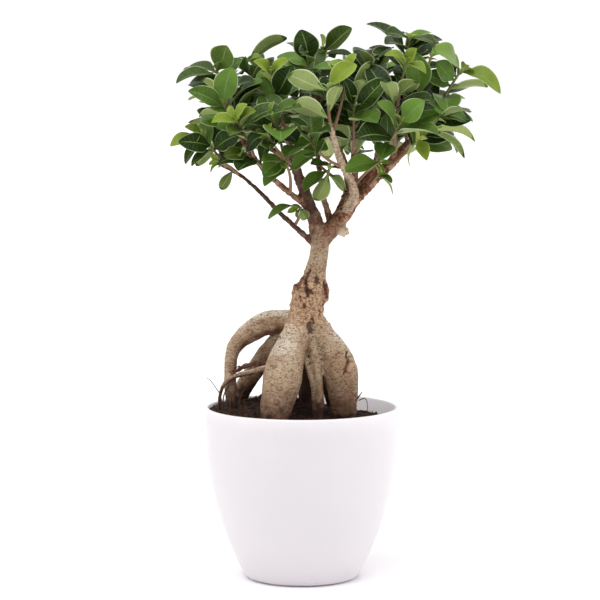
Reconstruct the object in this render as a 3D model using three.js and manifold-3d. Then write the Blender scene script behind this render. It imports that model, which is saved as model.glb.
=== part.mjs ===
// A ginseng ficus: a small grafted fig whose swollen roots stand bare above the soil of a round white pot.
// Millimetres, +Z up. The origin is the centre of the pot's flat base, and the plant faces -Y.
import * as THREE from "three";
import { mergeVertices } from "three/addons/utils/BufferGeometryUtils.js";
import Module from "manifold-3d";

const wasm = await Module();
wasm.setup();

// Driving dimensions of the pot and its soil
const pot = {
  height: 125,
  rimRadius: 70.2,
  baseRadius: 40.3,
  swell: 2.35, // how early the wall turns upright on its way to the rim
  wall: 2.4,
  floor: 3,
  footInset: 2, // the foot stands in from the wall by this much
  footHeight: 1.4,
  rimRound: 0.8,
  outsideLevels: [0.012, 0.11, 0.26, 0.46, 0.7], // shares of its height
  insideLevels: [0.8, 0.52, 0.3, 0.13],
  segments: 32,
};
const soil = {
  level: 117,
  slope: 0.05, // it lies higher on the left, where the arching root comes down
  mound: { x: -18, y: 14, height: 13, halfWidth: 38, halfDepth: 24 }, // heaped up behind the front root
  ripple: 1.1,
  clearance: 0.9, // from the wall, whose flats come in between its corners
  sideLevels: [0.13, 0.3, 0.52, 0.8], // shares of the pot's height
  topRings: [1, 0.75, 0.5, 0.25, 0], // shares of its radius
  segments: 18,
};
const gap = 0.3; // between pieces that touch

// Driving dimensions of a grown leaf
const leaf = {
  widthRatio: 0.67,
  thickness: 0.7,
  margin: 0.8, // kept clear beyond its edge
  foot: 0.04, // this share of its length is inside its stem
  outline: [[0, 0.06], [0.43, 0.92], [0.79, 0.84], [1, 0]], // shares of its length and its half width
  lift: 0.22, // every leaf turns up towards the light by this much
  twist: 50, // and about its own length by up to half this many degrees
  bend: 0.55, // the blade curls down by this angle from base to tip
};
// How leaves follow each other down a stem from its tip: angles in degrees
const growth = {
  turn: 137.5, // about the stem, from each leaf to the next
  firstLeaf: 1.2, // from the tip
  spacing: 5.2,
  bareShare: 0.12, // of the stem, at its foot
  openFirst: 14, // between the stem and its youngest leaf
  openMore: 48,
  stray: 20,
  youngest: 0.45, // its share of a grown leaf's length
  perLeaf: 0.2,
};
const twig = { baseRadius: 1.6, tipRadius: 0.9, sides: 3, rings: 3, bow: 0.45, stretches: 5 };

// Limbs have more sides where they are thick, and a ring of points at about every step
const limbs = {
  step: 16,
  thickRoot: { from: 5, sides: 8 }, // from this radius up
  thinRoot: 5,
  thickBough: { from: 3.5, sides: 6 },
  thinBough: 4,
};

// Rootstock: each root is a path of [x, y, z, radius]
const roots = {
  trunk: [
    [1, -2, 165, 9.5], [2, -2, 175, 12], [2, -1, 185, 12.6], [4, 0, 197, 12.2], [6, 0, 207, 11.6],
    [9, 0, 216, 9.6], [10, 0, 224, 7.6], [12, 0, 233, 7], [13, 0, 242, 6.7], [14, 0, 250, 7.2],
    [15, 0, 256, 5.5],
  ],
  carrot: [
    [2, -3, 191, 9], [-3, -9, 180, 10.5], [-8, -16, 169, 11.6], [-12, -22, 159, 13.8], [-14, -26, 148, 14.3],
    [-16, -29, 138, 13], [-18.5, -31, 127, 11.6], [-20, -32, 115, 9.8], [-22, -31, 98, 4.5],
  ],
  shoulder: [
    [8, -1, 188, 8.6], [16.2, -5, 175.6, 9.2], [22.4, -8, 166.6, 10.9], [25.7, -8, 159, 12.4], [28, -9, 151, 12.6],
    [29.2, -9, 143, 12], [30, -9, 134, 11], [30.4, -8, 122, 9.4], [30.6, -6, 105, 4.5],
  ],
  arch: [
    [-3, 2, 186, 8.5], [-14, 5, 187, 8.4], [-26, 6, 184.7, 9.1], [-36.2, 7, 179.5, 8.1], [-44.8, 7, 172.8, 6.5],
    [-50.4, 6, 164, 4.9], [-52, 5, 152, 4.5], [-52, 5, 141, 4.6], [-51, 5, 127, 4.2], [-49, 5, 109, 2.5],
  ],
  diagonal: [
    [-8, 8, 181, 8], [-17, 12, 172, 7.2], [-26, 16, 161, 6.9], [-35, 19, 148, 6.8], [-42, 21, 137, 6.5],
    [-46, 22, 126, 5.6], [-49, 22, 110, 3.2],
  ],
  straight: [
    [6, -5, 178, 4.5], [8.6, -10, 167, 4.1], [10.4, -13, 156, 3.7], [12, -14, 144, 3.3], [13, -15, 131, 3.2],
    [13.6, -15, 113, 2.2],
  ],
  thin: [
    [1, -7, 168, 2.4], [2.6, -12, 160, 1.9], [4.6, -14, 153, 1.7], [6.6, -15, 146, 1.6], [8, -15, 138, 1.6],
    [8.8, -15, 128, 1.7], [9, -14, 113, 1.2],
  ],
  middle: [
    [3, 4, 182, 8], [4, 11, 168, 8.4], [4, 16, 154, 8], [4, 19, 138, 7], [3, 20, 122, 5.6], [3, 20, 104, 3],
  ],
  backRight: [
    [6, 6, 186, 9], [12, 14, 174, 9.6], [17, 21, 160, 10.4], [20, 26, 146, 9.8], [23, 29, 132, 7.6],
    [25, 31, 117, 5.2], [26, 32, 100, 2.8],
  ],
  backLeft: [
    [-2, 7, 180, 7.5], [-7, 18, 168, 7.6], [-11, 28, 154, 7.4], [-14, 35, 138, 6], [-16, 39, 122, 4.4],
    [-17, 41, 106, 2.6],
  ],
  runner: [
    [-20, -18, 155, 3], [-27, -12, 154, 2.6], [-35, -6, 151, 2.3], [-42, -2, 149, 2.1], [-49, -1, 147, 1.9],
    [-54, -2, 144, 1.7], [-58, -3, 138, 1.5], [-60, -3, 128, 1.4], [-60, -3, 114, 1.2],
  ],
};

// Grafted crown: each bough is a path of [x, y, z, radius]
const boughs = {
  left: [
    [13, 0, 246, 6.4], [10, -2, 259, 5.6], [5.4, -4, 271, 4.8], [1.6, -6, 282, 4.3], [-2.6, -8, 293, 3.8],
    [-6, -9, 304, 3.2], [-8.6, -10, 315, 2.6], [-11, -10, 327, 2],
  ],
  leftMid: [
    [6, -4, 269, 2.8], [-3, -8, 276, 2.3], [-14, -12, 285, 2.2], [-24, -14, 294, 2.2], [-34, -16, 306, 2],
    [-43, -18, 319, 1.7],
  ],
  leftLow: [
    [9, 0, 243, 2.5], [-3, -2, 254, 2], [-15, -4, 265, 1.8], [-27.6, -6, 278.4, 1.7], [-40, -8, 290, 1.5],
    [-51, -9, 297, 1.4], [-61, -10, 302, 1.2],
  ],
  right: [
    [15, 0, 247, 6.4], [24.4, 0, 257.4, 6], [32, 0, 266.6, 5.3], [39.6, 2, 276.4, 4.3], [48.6, 4, 285.5, 3.9],
    [59, 6, 296, 4], [69, 8, 306, 3.6], [77, 10, 315, 3], [84, 12, 322, 2.3],
  ],
  stub: [[25, 0, 259, 4.5], [29, -3, 253, 4]],
  front: [
    [33, -3, 269, 4], [37.6, -9, 279, 3.4], [33.6, -18, 292, 3], [27, -26, 305, 2.5], [23, -33, 318, 2.3],
    [20, -38, 328, 1.9],
  ],
  middle: [[35, 0, 271, 3.4], [38, -4, 287, 2.5], [38, -11, 302, 2.2], [37, -16, 314, 1.8]],
  rise: [[46, 3, 282, 3], [51, 0, 295, 2.4], [54, -3, 307, 2.1], [55, -6, 320, 1.7]],
  rightUp: [[62, 6, 298, 3], [66, -3, 308, 2.4], [67, -10, 318, 1.8]],
  top: [[21, 2, 258, 2.9], [15, 8, 280, 2], [12, 9, 303, 1.9], [12.6, 6, 326, 1.9], [12, 2, 342, 1.7]],
  backLeft: [
    [14, 3, 250, 4.8], [9, 14, 263, 4], [2, 27, 279, 3.2], [-6, 38, 297, 2.6], [-27, 46, 314, 2],
  ],
  backRight: [
    [17, 3, 250, 4.8], [28, 16, 265, 4], [42, 29, 282, 3.3], [55, 39, 299, 2.7], [64, 46, 316, 2],
  ],
  backMid: [[15, 4, 250, 4.4], [28, 14, 266, 3.6], [34, 29, 288, 2.8], [26, 41, 317, 2]],
};

// Swellings at the graft and the cut-back branches, as [x, y, z, radius along X, Y and Z]
const knobs = [
  [-1.5, -3, 207, 6, 6, 8.5], [15, -2, 208, 5, 5, 8.5], [7, -8, 204, 5, 5, 8],
  [30.2, -2.6, 252.2, 4.1, 4, 3.4],
];

// Leafy stems: the bough they grow from, where on it (0 to 1), the tip, how far the tip leans out from
// upright (0 to 1), how many leaves fill in beside the seen ones, the grown leaf's length and the turn of
// the first leaf about the stem
const sprays = [
  ["leftMid", 0.88, [-61, -6, 369], 0.4, 6, 33, 205],
  ["leftMid", 0.97, [-57, -28, 347], 0.5, 5, 31, 40],
  ["leftLow", 0.88, [-71, -18, 321], 0.6, 4, 29, 120],
  ["leftMid", 0.8, [-47, -46, 334], 0.7, 5, 28, 10],
  ["left", 0.99, [-40, 6, 375], 0.3, 6, 31, 300],
  ["left", 0.84, [-22, -48, 338], 0.7, 6, 33, 75],
  ["left", 0.92, [-22, -22, 366], 0.4, 6, 30, 150],
  ["left", 0.66, [-24, -54, 323], 0.7, 6, 29, 20],
  ["top", 0.9, [4, -10, 378], 0.3, 6, 32, 250],
  ["top", 0.99, [15, 10, 382], 0.2, 7, 34, 60],
  ["front", 0.9, [32, -36, 368], 0.5, 7, 31, 320],
  ["front", 0.98, [18, -48, 356], 0.15, 4, 34, 110],
  ["middle", 0.97, [37, -26, 346], 0.1, 4, 32, 200],
  ["rise", 0.96, [50, -12, 377], 0.4, 8, 32, 30],
  ["rightUp", 0.98, [74, -32, 374], 0.5, 7, 31, 90],
  ["right", 0.86, [78, 6, 391], 0.4, 6, 33, 10],
  ["rightUp", 0.8, [65, -36, 349], 0.1, 6, 32, 280],
  ["rise", 0.6, [70, -48, 333], 0.6, 6, 31, 170],
  ["right", 0.92, [92, -18, 378], 0.5, 8, 32, 130],
  ["right", 0.98, [114, -2, 368], 0.6, 5, 34, 350],
  ["right", 0.84, [99, -24, 336], 0.7, 5, 33, 45],
  ["right", 0.66, [84, -20, 320], 0.6, 3, 26, 240],
  ["middle", 0.3, [56, -16, 303], 0.8, 2, 27, 90],
  ["front", 0.5, [4, -50, 326], 0.6, 6, 30, 260],
  ["leftMid", 0.55, [-41, -36, 311], 0.8, 3, 27, 305],
  ["leftMid", 0.3, [-14, -34, 305], 0.8, 2, 27, 65],
  ["leftLow", 0.75, [-59, -18, 303], 0.9, 3, 25, 170],
  ["leftLow", 0.2, [-2, -10, 270], 0.6, 0, 24, 80],
  ["top", 0.3, [20, -12, 300], 0.4, 0, 24, 20],
  ["right", 0.48, [56, -4, 294], 0.5, 0, 23, 300],
  ["top", 0.7, [-6, 26, 358], 0.4, 7, 30, 35],
  ["leftLow", 1, [-64, 14, 332], 0.7, 7, 31, 260],
  ["backLeft", 0.95, [-62, 34, 354], 0.6, 8, 31, 140],
  ["backLeft", 0.98, [-32, 54, 370], 0.5, 8, 30, 20],
  ["backLeft", 0.75, [-58, 56, 328], 0.8, 7, 29, 230],
  ["backLeft", 0.85, [-24, 78, 336], 0.8, 7, 30, 310],
  ["backMid", 0.97, [4, 50, 378], 0.4, 7, 31, 85],
  ["backMid", 0.9, [14, 82, 343], 0.8, 8, 30, 200],
  ["backMid", 0.6, [-4, 62, 320], 0.8, 5, 28, 120],
  ["backRight", 0.98, [56, 50, 372], 0.5, 8, 31, 265],
  ["backRight", 0.88, [50, 78, 338], 0.8, 7, 30, 10],
  ["backRight", 0.92, [90, 42, 351], 0.7, 8, 32, 75],
  ["backRight", 0.7, [84, 56, 328], 0.8, 6, 29, 190],
  ["right", 0.8, [104, 24, 344], 0.8, 7, 31, 300],
  ["top", 0.85, [42, 30, 372], 0.4, 7, 32, 155],
  ["backRight", 0.5, [40, 54, 314], 0.8, 5, 28, 235],
];
const firstFilling = 2; // the first two leaves of a stem with seen leaves are among those

// The leaves that the photograph shows one by one, chosen by hand: the stem's number, how far down from
// its tip the leaf is joined, the reach from there to the leaf's tip, its width, the way its upper side
// faces, and how far it curls
const seenLeaves = [
  [1, 2, [6, -8, 17], 20, [-0.2, -1, 0.3], 0.3],
  [1, 6, [-28, -14, -2], 17, [-0.1, -0.45, 1], 0.8],
  [1, 4, [-24, 12, 7], 15, [0, -0.5, 1], 0.5],
  [1, 10, [14, -8, 16], 14, [-0.5, -0.6, 0.6], 0.4],
  [2, 5, [5, -8, 25], 18, [-0.1, -1, 0.25], 0.35],
  [2, 6, [-20, -10, 12], 14, [-0.2, -0.8, 0.45], 0.4],
  [2, 3, [-13, 12, 17], 12, [0.7, 0.4, 0.5], 0.3],
  [2, 13, [-11, -12, 6], 12, [0, -0.7, 0.7], 0.6],
  [2, 13, [-20, 6, 1], 12, [0, 0.3, 1], 0.6],
  [3, 1, [-21, -10, -2], 13, [0, -0.6, 0.8], 0.4],
  [3, 10, [-17, -12, 4], 15, [-0.3, -0.8, 0.2], 0.9],
  [3, 14, [15, -14, 11], 16, [0.1, -0.9, 0.4], 0.35],
  [3, 14, [-12, 8, -9], 11, [0.6, 0, 0.75], 0.7],
  [3, 1, [-10, -4, 9], 12, [-0.2, -0.5, 0.9], 0.5],
  [3, 5, [-15, -10, -13], 11, [-0.3, -0.5, 0.8], 0.9],
  [3, 13, [-14, -12, -9], 8, [-0.2, -0.6, 0.8], 0.9],
  [4, 1, [7, -6, 11], 9, [-0.4, -0.7, 0.6], 0.4],
  [4, 2, [-15, -8, 1], 11, [0, -0.7, 0.7], 0.6],
  [4, 4, [10, -14, 9], 12, [-0.5, -0.6, 0.6], 0.5],
  [4, 10, [27, -10, 15], 17, [-0.3, -0.6, 0.8], 0.6],
  [5, 2, [8, -9, 6], 8, [0, -0.6, 0.8], 0.4],
  [5, 14, [-4, -12, 12], 12, [-0.5, -0.8, 0.3], 0.35],
  [5, 14, [3, -15, 8], 12, [0.4, -0.9, 0.2], 0.3],
  [5, 2, [25, 8, 20], 13, [-0.5, 0.6, 0.4], 0.3],
  [6, 3, [17, -14, 9], 14, [-0.2, -0.6, 0.8], 0.7],
  [7, 3, [-9, -12, 11], 10, [-0.3, -0.7, 0.6], 0.5],
  [7, 2, [9, -12, 11], 10, [0.3, -0.7, 0.6], 0.5],
  [7, 18, [9, -18, 18], 18, [0, -1, 0.3], 0.35],
  [7, 20, [-11, -8, 20], 15, [-0.3, -0.9, 0.3], 0.4],
  [9, 6, [-4, -10, 21], 19, [0, -1, 0.25], 0.35],
  [9, 8, [-2, -16, 12], 14, [0.2, -0.8, 0.6], 0.5],
  [9, 9, [-12, 6, 9], 13, [-0.3, -0.5, 0.8], 0.5],
  [10, 1, [18, -10, 17], 16, [-0.2, -0.9, 0.45], 0.35],
  [10, 2, [0, 4, 13], 11, [0.8, 0.3, 0.3], 0.3],
  [10, 3, [23, 6, 0], 13, [0, -0.35, 1], 0.5],
  [12, 3, [-27, -10, 13], 16, [0.1, 0.9, 0.45], 0.3],
  [12, 24, [-25, -14, 13], 16, [0.1, 0.9, 0.45], 0.3],
  [12, 20, [6, -10, 21], 12, [-0.55, 0.8, 0.15], 0.25],
  [12, 1, [18, 2, 18], 15, [-0.2, -0.8, 0.5], 0.4],
  [13, 4, [-5, -10, 18], 12, [0.5, -0.8, 0.2], 0.3],
  [13, 3, [8, -10, 18], 13, [-0.3, 0.9, 0.2], 0.3],
  [13, 2, [10, 4, 30], 12, [-0.7, 0.6, 0.2], 0.3],
  [13, 10, [20, -14, 24], 16, [-0.3, -0.9, 0.3], 0.4],
  [14, 5, [15, 12, 13], 14, [-0.3, -0.4, 0.8], 0.4],
  [15, 2, [-12, -8, 8], 10, [-0.2, -0.6, 0.7], 0.5],
  [15, 1, [5, -12, 9], 9, [0.2, -0.8, 0.5], 0.4],
  [15, 2, [12, -10, -3], 10, [0.2, -0.6, 0.8], 0.6],
  [16, 1, [-17, -10, 5], 15, [0, -0.6, 0.85], 0.6],
  [16, 3, [15, -16, 2], 13, [0.1, -0.5, 0.9], 0.7],
  [16, 11, [-14, -18, 9], 17, [-0.2, -0.8, 0.55], 0.4],
  [17, 6, [-6, -11, 19], 13, [0.3, 0.9, 0.2], 0.3],
  [17, 1, [15, -13, 13], 14, [-0.2, 0.8, 0.5], 0.3],
  [17, 8, [-17, 7, 30], 17, [0.2, -0.9, 0.3], 0.45],
  [18, 2, [13, -8, 14], 17, [-0.3, -0.9, 0.25], 0.8],
  [19, 1, [14, 12, 6], 14, [0, -0.6, 0.8], 0.5],
  [19, 33, [-4, -14, 28], 19, [-0.1, -1, 0.2], 0.35],
  [19, 38, [-14, -14, 19], 16, [0.3, -0.9, 0.2], 0.35],
  [20, 3, [-14, -20, 18], 18, [0.3, -0.8, 0.5], 0.45],
  [20, 1, [-13, 8, 14], 13, [0.3, -0.5, 0.8], 0.5],
  [20, 2, [26, -12, -9], 18, [0.2, -0.6, 0.75], 0.9],
  [20, 18, [27, -2, 5], 13, [-0.2, 0.5, 0.8], 0.3],
  [20, 22, [15, 12, 6], 13, [0, -0.5, 0.8], 0.4],
  [20, 10, [-12, -8, 13], 15, [-0.1, -0.9, 0.4], 0.45],
  [20, 15, [-16, -10, 9], 14, [-0.2, -0.8, 0.5], 0.5],
  [20, 7, [-6, 12, 10], 12, [-0.4, -0.8, 0.3], 0.4],
  [21, 1, [16, -8, -2], 14, [0.2, -0.6, 0.8], 0.9],
  [21, 3, [19, -18, 7], 13, [-0.1, 0.5, 0.8], 0.4],
  [21, 10, [25, -20, 4], 17, [0, -0.75, 0.6], 0.5],
  [21, 17, [33, -12, -3], 15, [0, 0.35, 0.9], 0.3],
  [21, 19, [27, -4, -18], 12, [0.3, 0.5, 0.8], 1],
  [22, 1, [4, -12, -12], 10, [0, -0.9, 0.2], 0.4],
  [22, 4, [-8, -6, -15], 10, [-0.3, 0.4, 0.8], 0.6],
  [23, 1, [-22, -14, -3], 15, [0, -0.85, 0.5], 0.3],
  [25, 3, [-13, -10, 0], 13, [0, -0.8, 0.5], 0.5],
  [25, 3, [10, -14, 13], 13, [0, -0.8, 0.5], 0.5],
  [26, 4, [-14, -10, -7], 15, [-0.1, -0.9, 0.4], 0.5],
  [26, 2, [-13, -4, 3], 12, [0, -0.6, 0.8], 0.6],
  [27, 14, [-9, -8, -14], 8, [0.2, 0.9, 0.3], 0.3],
  [28, 1, [-21, -10, -5], 11, [-0.1, -0.3, 0.9], 1.2],
  [28, 2, [5, -6, -8], 8, [0, 0.9, 0.3], 0.3],
  [29, 1, [-13, -6, 3], 11, [-0.1, -0.5, 0.8], 0.5],
  [29, 2, [12, -8, 1], 10, [0.1, -0.4, 0.8], 0.5],
  [29, 4, [-18, -10, -13], 13, [-0.3, -0.6, 0.7], 0.4],
  [29, 6, [-9, -8, -21], 12, [0.3, 0.9, 0.1], 0.3],
  [29, 9, [13, -10, -11], 12, [0.2, 0.8, 0.5], 0.4],
  [30, 1, [11, -4, -12], 6, [0.3, 0.1, 0.8], 0.5],
  [30, 2, [9, -8, -3], 8, [0.1, -0.3, 0.9], 0.6],
];
const crownCentre = new THREE.Vector3(15, 8, 290); // the leaning stems point away from here

const light = new THREE.Vector3(0, -0.45, 0.9).normalize(); // the side that the leaves turn to
const up = new THREE.Vector3(0, 0, 1);

// A fixed scatter of numbers from 0 to 1, the same on every run
function chance(n) {
  const s = Math.sin(n * 12.9898) * 43758.5453;
  return s - Math.floor(s);
}

function solidOf(geometry) {
  const bare = geometry.index ? geometry.clone() : geometry;
  bare.deleteAttribute("normal");
  bare.deleteAttribute("uv");
  const merged = mergeVertices(bare, 1e-4);
  return new wasm.Manifold(
    new wasm.Mesh({
      numProp: 3,
      vertProperties: merged.attributes.position.array,
      triVerts: new Uint32Array(merged.index.array),
    }),
  );
}

function geometryOf(solid) {
  const mesh = solid.getMesh();
  const geometry = new THREE.BufferGeometry();
  geometry.setAttribute("position", new THREE.BufferAttribute(mesh.vertProperties, 3));
  geometry.setIndex(new THREE.BufferAttribute(mesh.triVerts, 1));
  geometry.computeVertexNormals();
  return geometry;
}

function largestPiece(solid) {
  const pieces = solid.decompose();
  return pieces.reduce((most, piece) => (piece.volume() > most.volume() ? piece : most));
}

function curveThrough(path) {
  const points = path.map(([x, y, z]) => new THREE.Vector3(x, y, z));
  return new THREE.CatmullRomCurve3(points, false, "catmullrom", 0.5);
}

function radiusAlong(path, t) {
  const at = t * (path.length - 1);
  const i = Math.min(Math.floor(at), path.length - 2);
  return THREE.MathUtils.lerp(path[i][3], path[i + 1][3], at - i);
}

// A closed limb of changing thickness along a curve, with a blunt point at each end
function limb(curve, radiusAt, sides, rings) {
  const frames = curve.computeFrenetFrames(rings, false);
  const positions = [];
  const centre = new THREE.Vector3();
  for (let ring = 0; ring <= rings; ring++) {
    const t = ring / rings;
    centre.copy(curve.getPointAt(t));
    const r = radiusAt(curve.getUtoTmapping(t));
    for (let side = 0; side < sides; side++) {
      const angle = (2 * Math.PI * side) / sides;
      const rim = centre
        .clone()
        .addScaledVector(frames.normals[ring], r * Math.cos(angle))
        .addScaledVector(frames.binormals[ring], r * Math.sin(angle));
      positions.push(rim.x, rim.y, rim.z);
    }
  }
  const ends = [0, 1].map((t) => {
    const out = curve.getTangentAt(t).multiplyScalar((t - 0.5) * radiusAt(t));
    return curve.getPointAt(t).add(out);
  });
  ends.forEach((end) => positions.push(end.x, end.y, end.z));

  const index = [];
  const startPole = (rings + 1) * sides;
  for (let side = 0; side < sides; side++) {
    const next = (side + 1) % sides;
    for (let ring = 0; ring < rings; ring++) {
      const a = ring * sides + side;
      const b = ring * sides + next;
      index.push(a, b, b + sides, a, b + sides, a + sides);
    }
    index.push(startPole, next, side);
    index.push(startPole + 1, rings * sides + side, rings * sides + next);
  }
  const geometry = new THREE.BufferGeometry();
  geometry.setAttribute("position", new THREE.Float32BufferAttribute(positions, 3));
  geometry.setIndex(index);
  return geometry;
}

function limbSolid(path, sides, extra) {
  const curve = curveThrough(path);
  const rings = Math.max(2, Math.round(curve.getLength() / limbs.step));
  return solidOf(limb(curve, (t) => radiusAlong(path, t) + extra, sides, rings));
}

function knobSolid([x, y, z, rx, ry, rz], extra) {
  const geometry = new THREE.IcosahedronGeometry(1, 1);
  geometry.scale(rx + extra, ry + extra, rz + extra);
  geometry.translate(x, y, z);
  return solidOf(geometry);
}

// Roots, trunk and boughs grew together, so they are one solid. extra thickens it, to cut holes for it
function woodSolid(extra) {
  const grown = (paths, thick, thin) =>
    Object.values(paths).map((path) => limbSolid(path, path[0][3] > thick.from ? thick.sides : thin, extra));
  const pieces = [
    ...grown(roots, limbs.thickRoot, limbs.thinRoot),
    ...grown(boughs, limbs.thickBough, limbs.thinBough),
    ...knobs.map((knob) => knobSolid(knob, extra)),
  ];
  return pieces.reduce((whole, piece) => whole.add(piece));
}

function potRadius(z) {
  const share = THREE.MathUtils.clamp(z / pot.height, 0, 1);
  return pot.baseRadius + (pot.rimRadius - pot.baseRadius) * (1 - (1 - share) ** pot.swell);
}

// A turned profile of [radius, height] that starts and ends on the axis, from the bottom outwards
function turned(profile, segments) {
  const geometry = new THREE.LatheGeometry(
    profile.map(([r, z]) => new THREE.Vector2(r, z)),
    segments,
  );
  return geometry.rotateX(Math.PI / 2);
}

function potSolid() {
  const foot = pot.baseRadius - pot.footInset;
  const wallAt = (inset) => (share) => [potRadius(share * pot.height) - inset, share * pot.height];
  const profile = [
    [0, 0],
    [foot, 0],
    [foot, pot.footHeight],
    ...pot.outsideLevels.map(wallAt(0)),
    [pot.rimRadius, pot.height - pot.rimRound],
    [pot.rimRadius - pot.rimRound, pot.height],
    [pot.rimRadius - pot.wall + pot.rimRound / 2, pot.height],
    ...pot.insideLevels.map(wallAt(pot.wall)),
    [potRadius(pot.floor) - pot.wall, pot.floor],
    [0, pot.floor],
  ];
  return solidOf(turned(profile, pot.segments));
}

function soilHeight(x, y) {
  const { mound: heap } = soil;
  const far = ((x - heap.x) / heap.halfWidth) ** 2 + ((y - heap.y) / heap.halfDepth) ** 2;
  const mound = heap.height * Math.exp(-far);
  const ripple = soil.ripple * Math.sin(x * 0.21 + 1) * Math.cos(y * 0.17 - x * 0.05);
  return soil.level - soil.slope * x + mound + ripple;
}

// The soil fills the pot, and the roots stand in plain holes in it
function soilSolid(rootHoles) {
  const radiusAt = (z) => potRadius(z) - pot.wall - soil.clearance;
  const floor = pot.floor + gap;
  const profile = [
    [0, floor],
    [radiusAt(floor), floor],
    ...soil.sideLevels.map((share) => [radiusAt(share * pot.height), share * pot.height]),
    ...soil.topRings.map((share) => [radiusAt(soil.level) * share, soil.level]),
  ];
  const geometry = turned(profile, soil.segments);
  const places = geometry.attributes.position;
  const lowestTop = soil.sideLevels.at(-1) * pot.height + 1;
  for (let i = 0; i < places.count; i++)
    if (places.getZ(i) > lowestTop) places.setZ(i, soilHeight(places.getX(i), places.getY(i)));
  return largestPiece(solidOf(geometry).subtract(rootHoles));
}

// Half the width of a leaf at share v of its length
function leafHalfWidth(blade, v) {
  const next = Math.max(1, leaf.outline.findIndex(([share]) => share >= Math.min(v, 1)));
  const [from, narrow] = leaf.outline[next - 1];
  const [to, wide] = leaf.outline[next];
  return (blade.width / 2) * THREE.MathUtils.mapLinear(Math.min(v, 1), from, to, narrow, wide);
}

// The point at share v of a leaf's length and u (-1 to 1) across it, lifted off the blade by lift
function leafPoint(blade, u, v, lift = 0) {
  const radius = blade.length / blade.bend;
  const turn = blade.bend * v;
  return blade.base
    .clone()
    .addScaledVector(blade.along, (radius + lift) * Math.sin(turn))
    .addScaledVector(blade.face, (radius + lift) * Math.cos(turn) - radius)
    .addScaledVector(blade.side, u * leafHalfWidth(blade, v));
}

// Whether a point lies in or within reach of a leaf's blade
function nearLeaf(blade, point, reach) {
  const from = point.clone().sub(blade.base);
  const radius = blade.length / blade.bend;
  const x = from.dot(blade.along);
  const z = from.dot(blade.face) + radius;
  const v = Math.atan2(x, z) / blade.bend;
  if (v < leaf.foot || v > 1 + leaf.foot) return false;
  const across = Math.abs(from.dot(blade.side));
  return Math.abs(Math.hypot(x, z) - radius) < reach && across < leafHalfWidth(blade, v) + leaf.margin;
}

function distanceToSegment(point, a, b) {
  const along = b.clone().sub(a);
  const t = THREE.MathUtils.clamp(point.clone().sub(a).dot(along) / along.lengthSq(), 0, 1);
  return a.clone().addScaledVector(along, t).distanceTo(point);
}

// A grid of points over a leaf, about 2 mm apart
function samplesOf(blade) {
  const rows = 14;
  const columns = 3;
  const samples = [];
  for (let row = 1; row <= rows; row++)
    for (let column = -columns; column <= columns; column++)
      samples.push(leafPoint(blade, column / columns, row / rows));
  return samples;
}

// A stem is a curve from its bough to its tip, where it points between upright and outwards
function stemOf([bough, at, tip, lean]) {
  const start = curveThrough(boughs[bough]).getPoint(at);
  const end = new THREE.Vector3(...tip);
  const outwards = end.clone().sub(crownCentre).normalize();
  const heading = up.clone().lerp(outwards, lean).normalize();
  const bow = end.clone().addScaledVector(heading, -twig.bow * start.distanceTo(end));
  return new THREE.QuadraticBezierCurve3(start, bow, end);
}

function stretchesOf(points, radii, owner) {
  return points.slice(1).map((b, i) => ({ a: points[i], b, r: Math.max(radii[i], radii[i + 1]), owner }));
}

const stems = sprays.map(stemOf);
const stretches = [
  ...Object.values(boughs).flatMap((path) =>
    stretchesOf(path.map(([x, y, z]) => new THREE.Vector3(x, y, z)), path.map((p) => p[3]), -1),
  ),
  ...stems.flatMap((stem, owner) => {
    const points = stem.getPoints(twig.stretches);
    return stretchesOf(points, points.map(() => twig.baseRadius), owner);
  }),
];

// A leaf seen in the photograph, from its joint to its tip, which may be moved in depth to come clear
function seenLeaf([spray, back, reach, width, facing, bend], depth) {
  const stem = stems[spray - 1];
  const chord = new THREE.Vector3(...reach).add(new THREE.Vector3(0, depth, 0));
  const side = new THREE.Vector3().crossVectors(chord, new THREE.Vector3(...facing)).normalize();
  const raised = new THREE.Vector3().crossVectors(side, chord).normalize();
  const length = (chord.length() * bend) / (2 * Math.sin(bend / 2));
  const along = chord
    .normalize()
    .multiplyScalar(Math.cos(bend / 2))
    .addScaledVector(raised, Math.sin(bend / 2));
  return {
    base: stem.getPoint(1 - back / stem.getLength()),
    along,
    side,
    face: new THREE.Vector3().crossVectors(side, along),
    length,
    width,
    bend,
    seen: true,
  };
}

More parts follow.
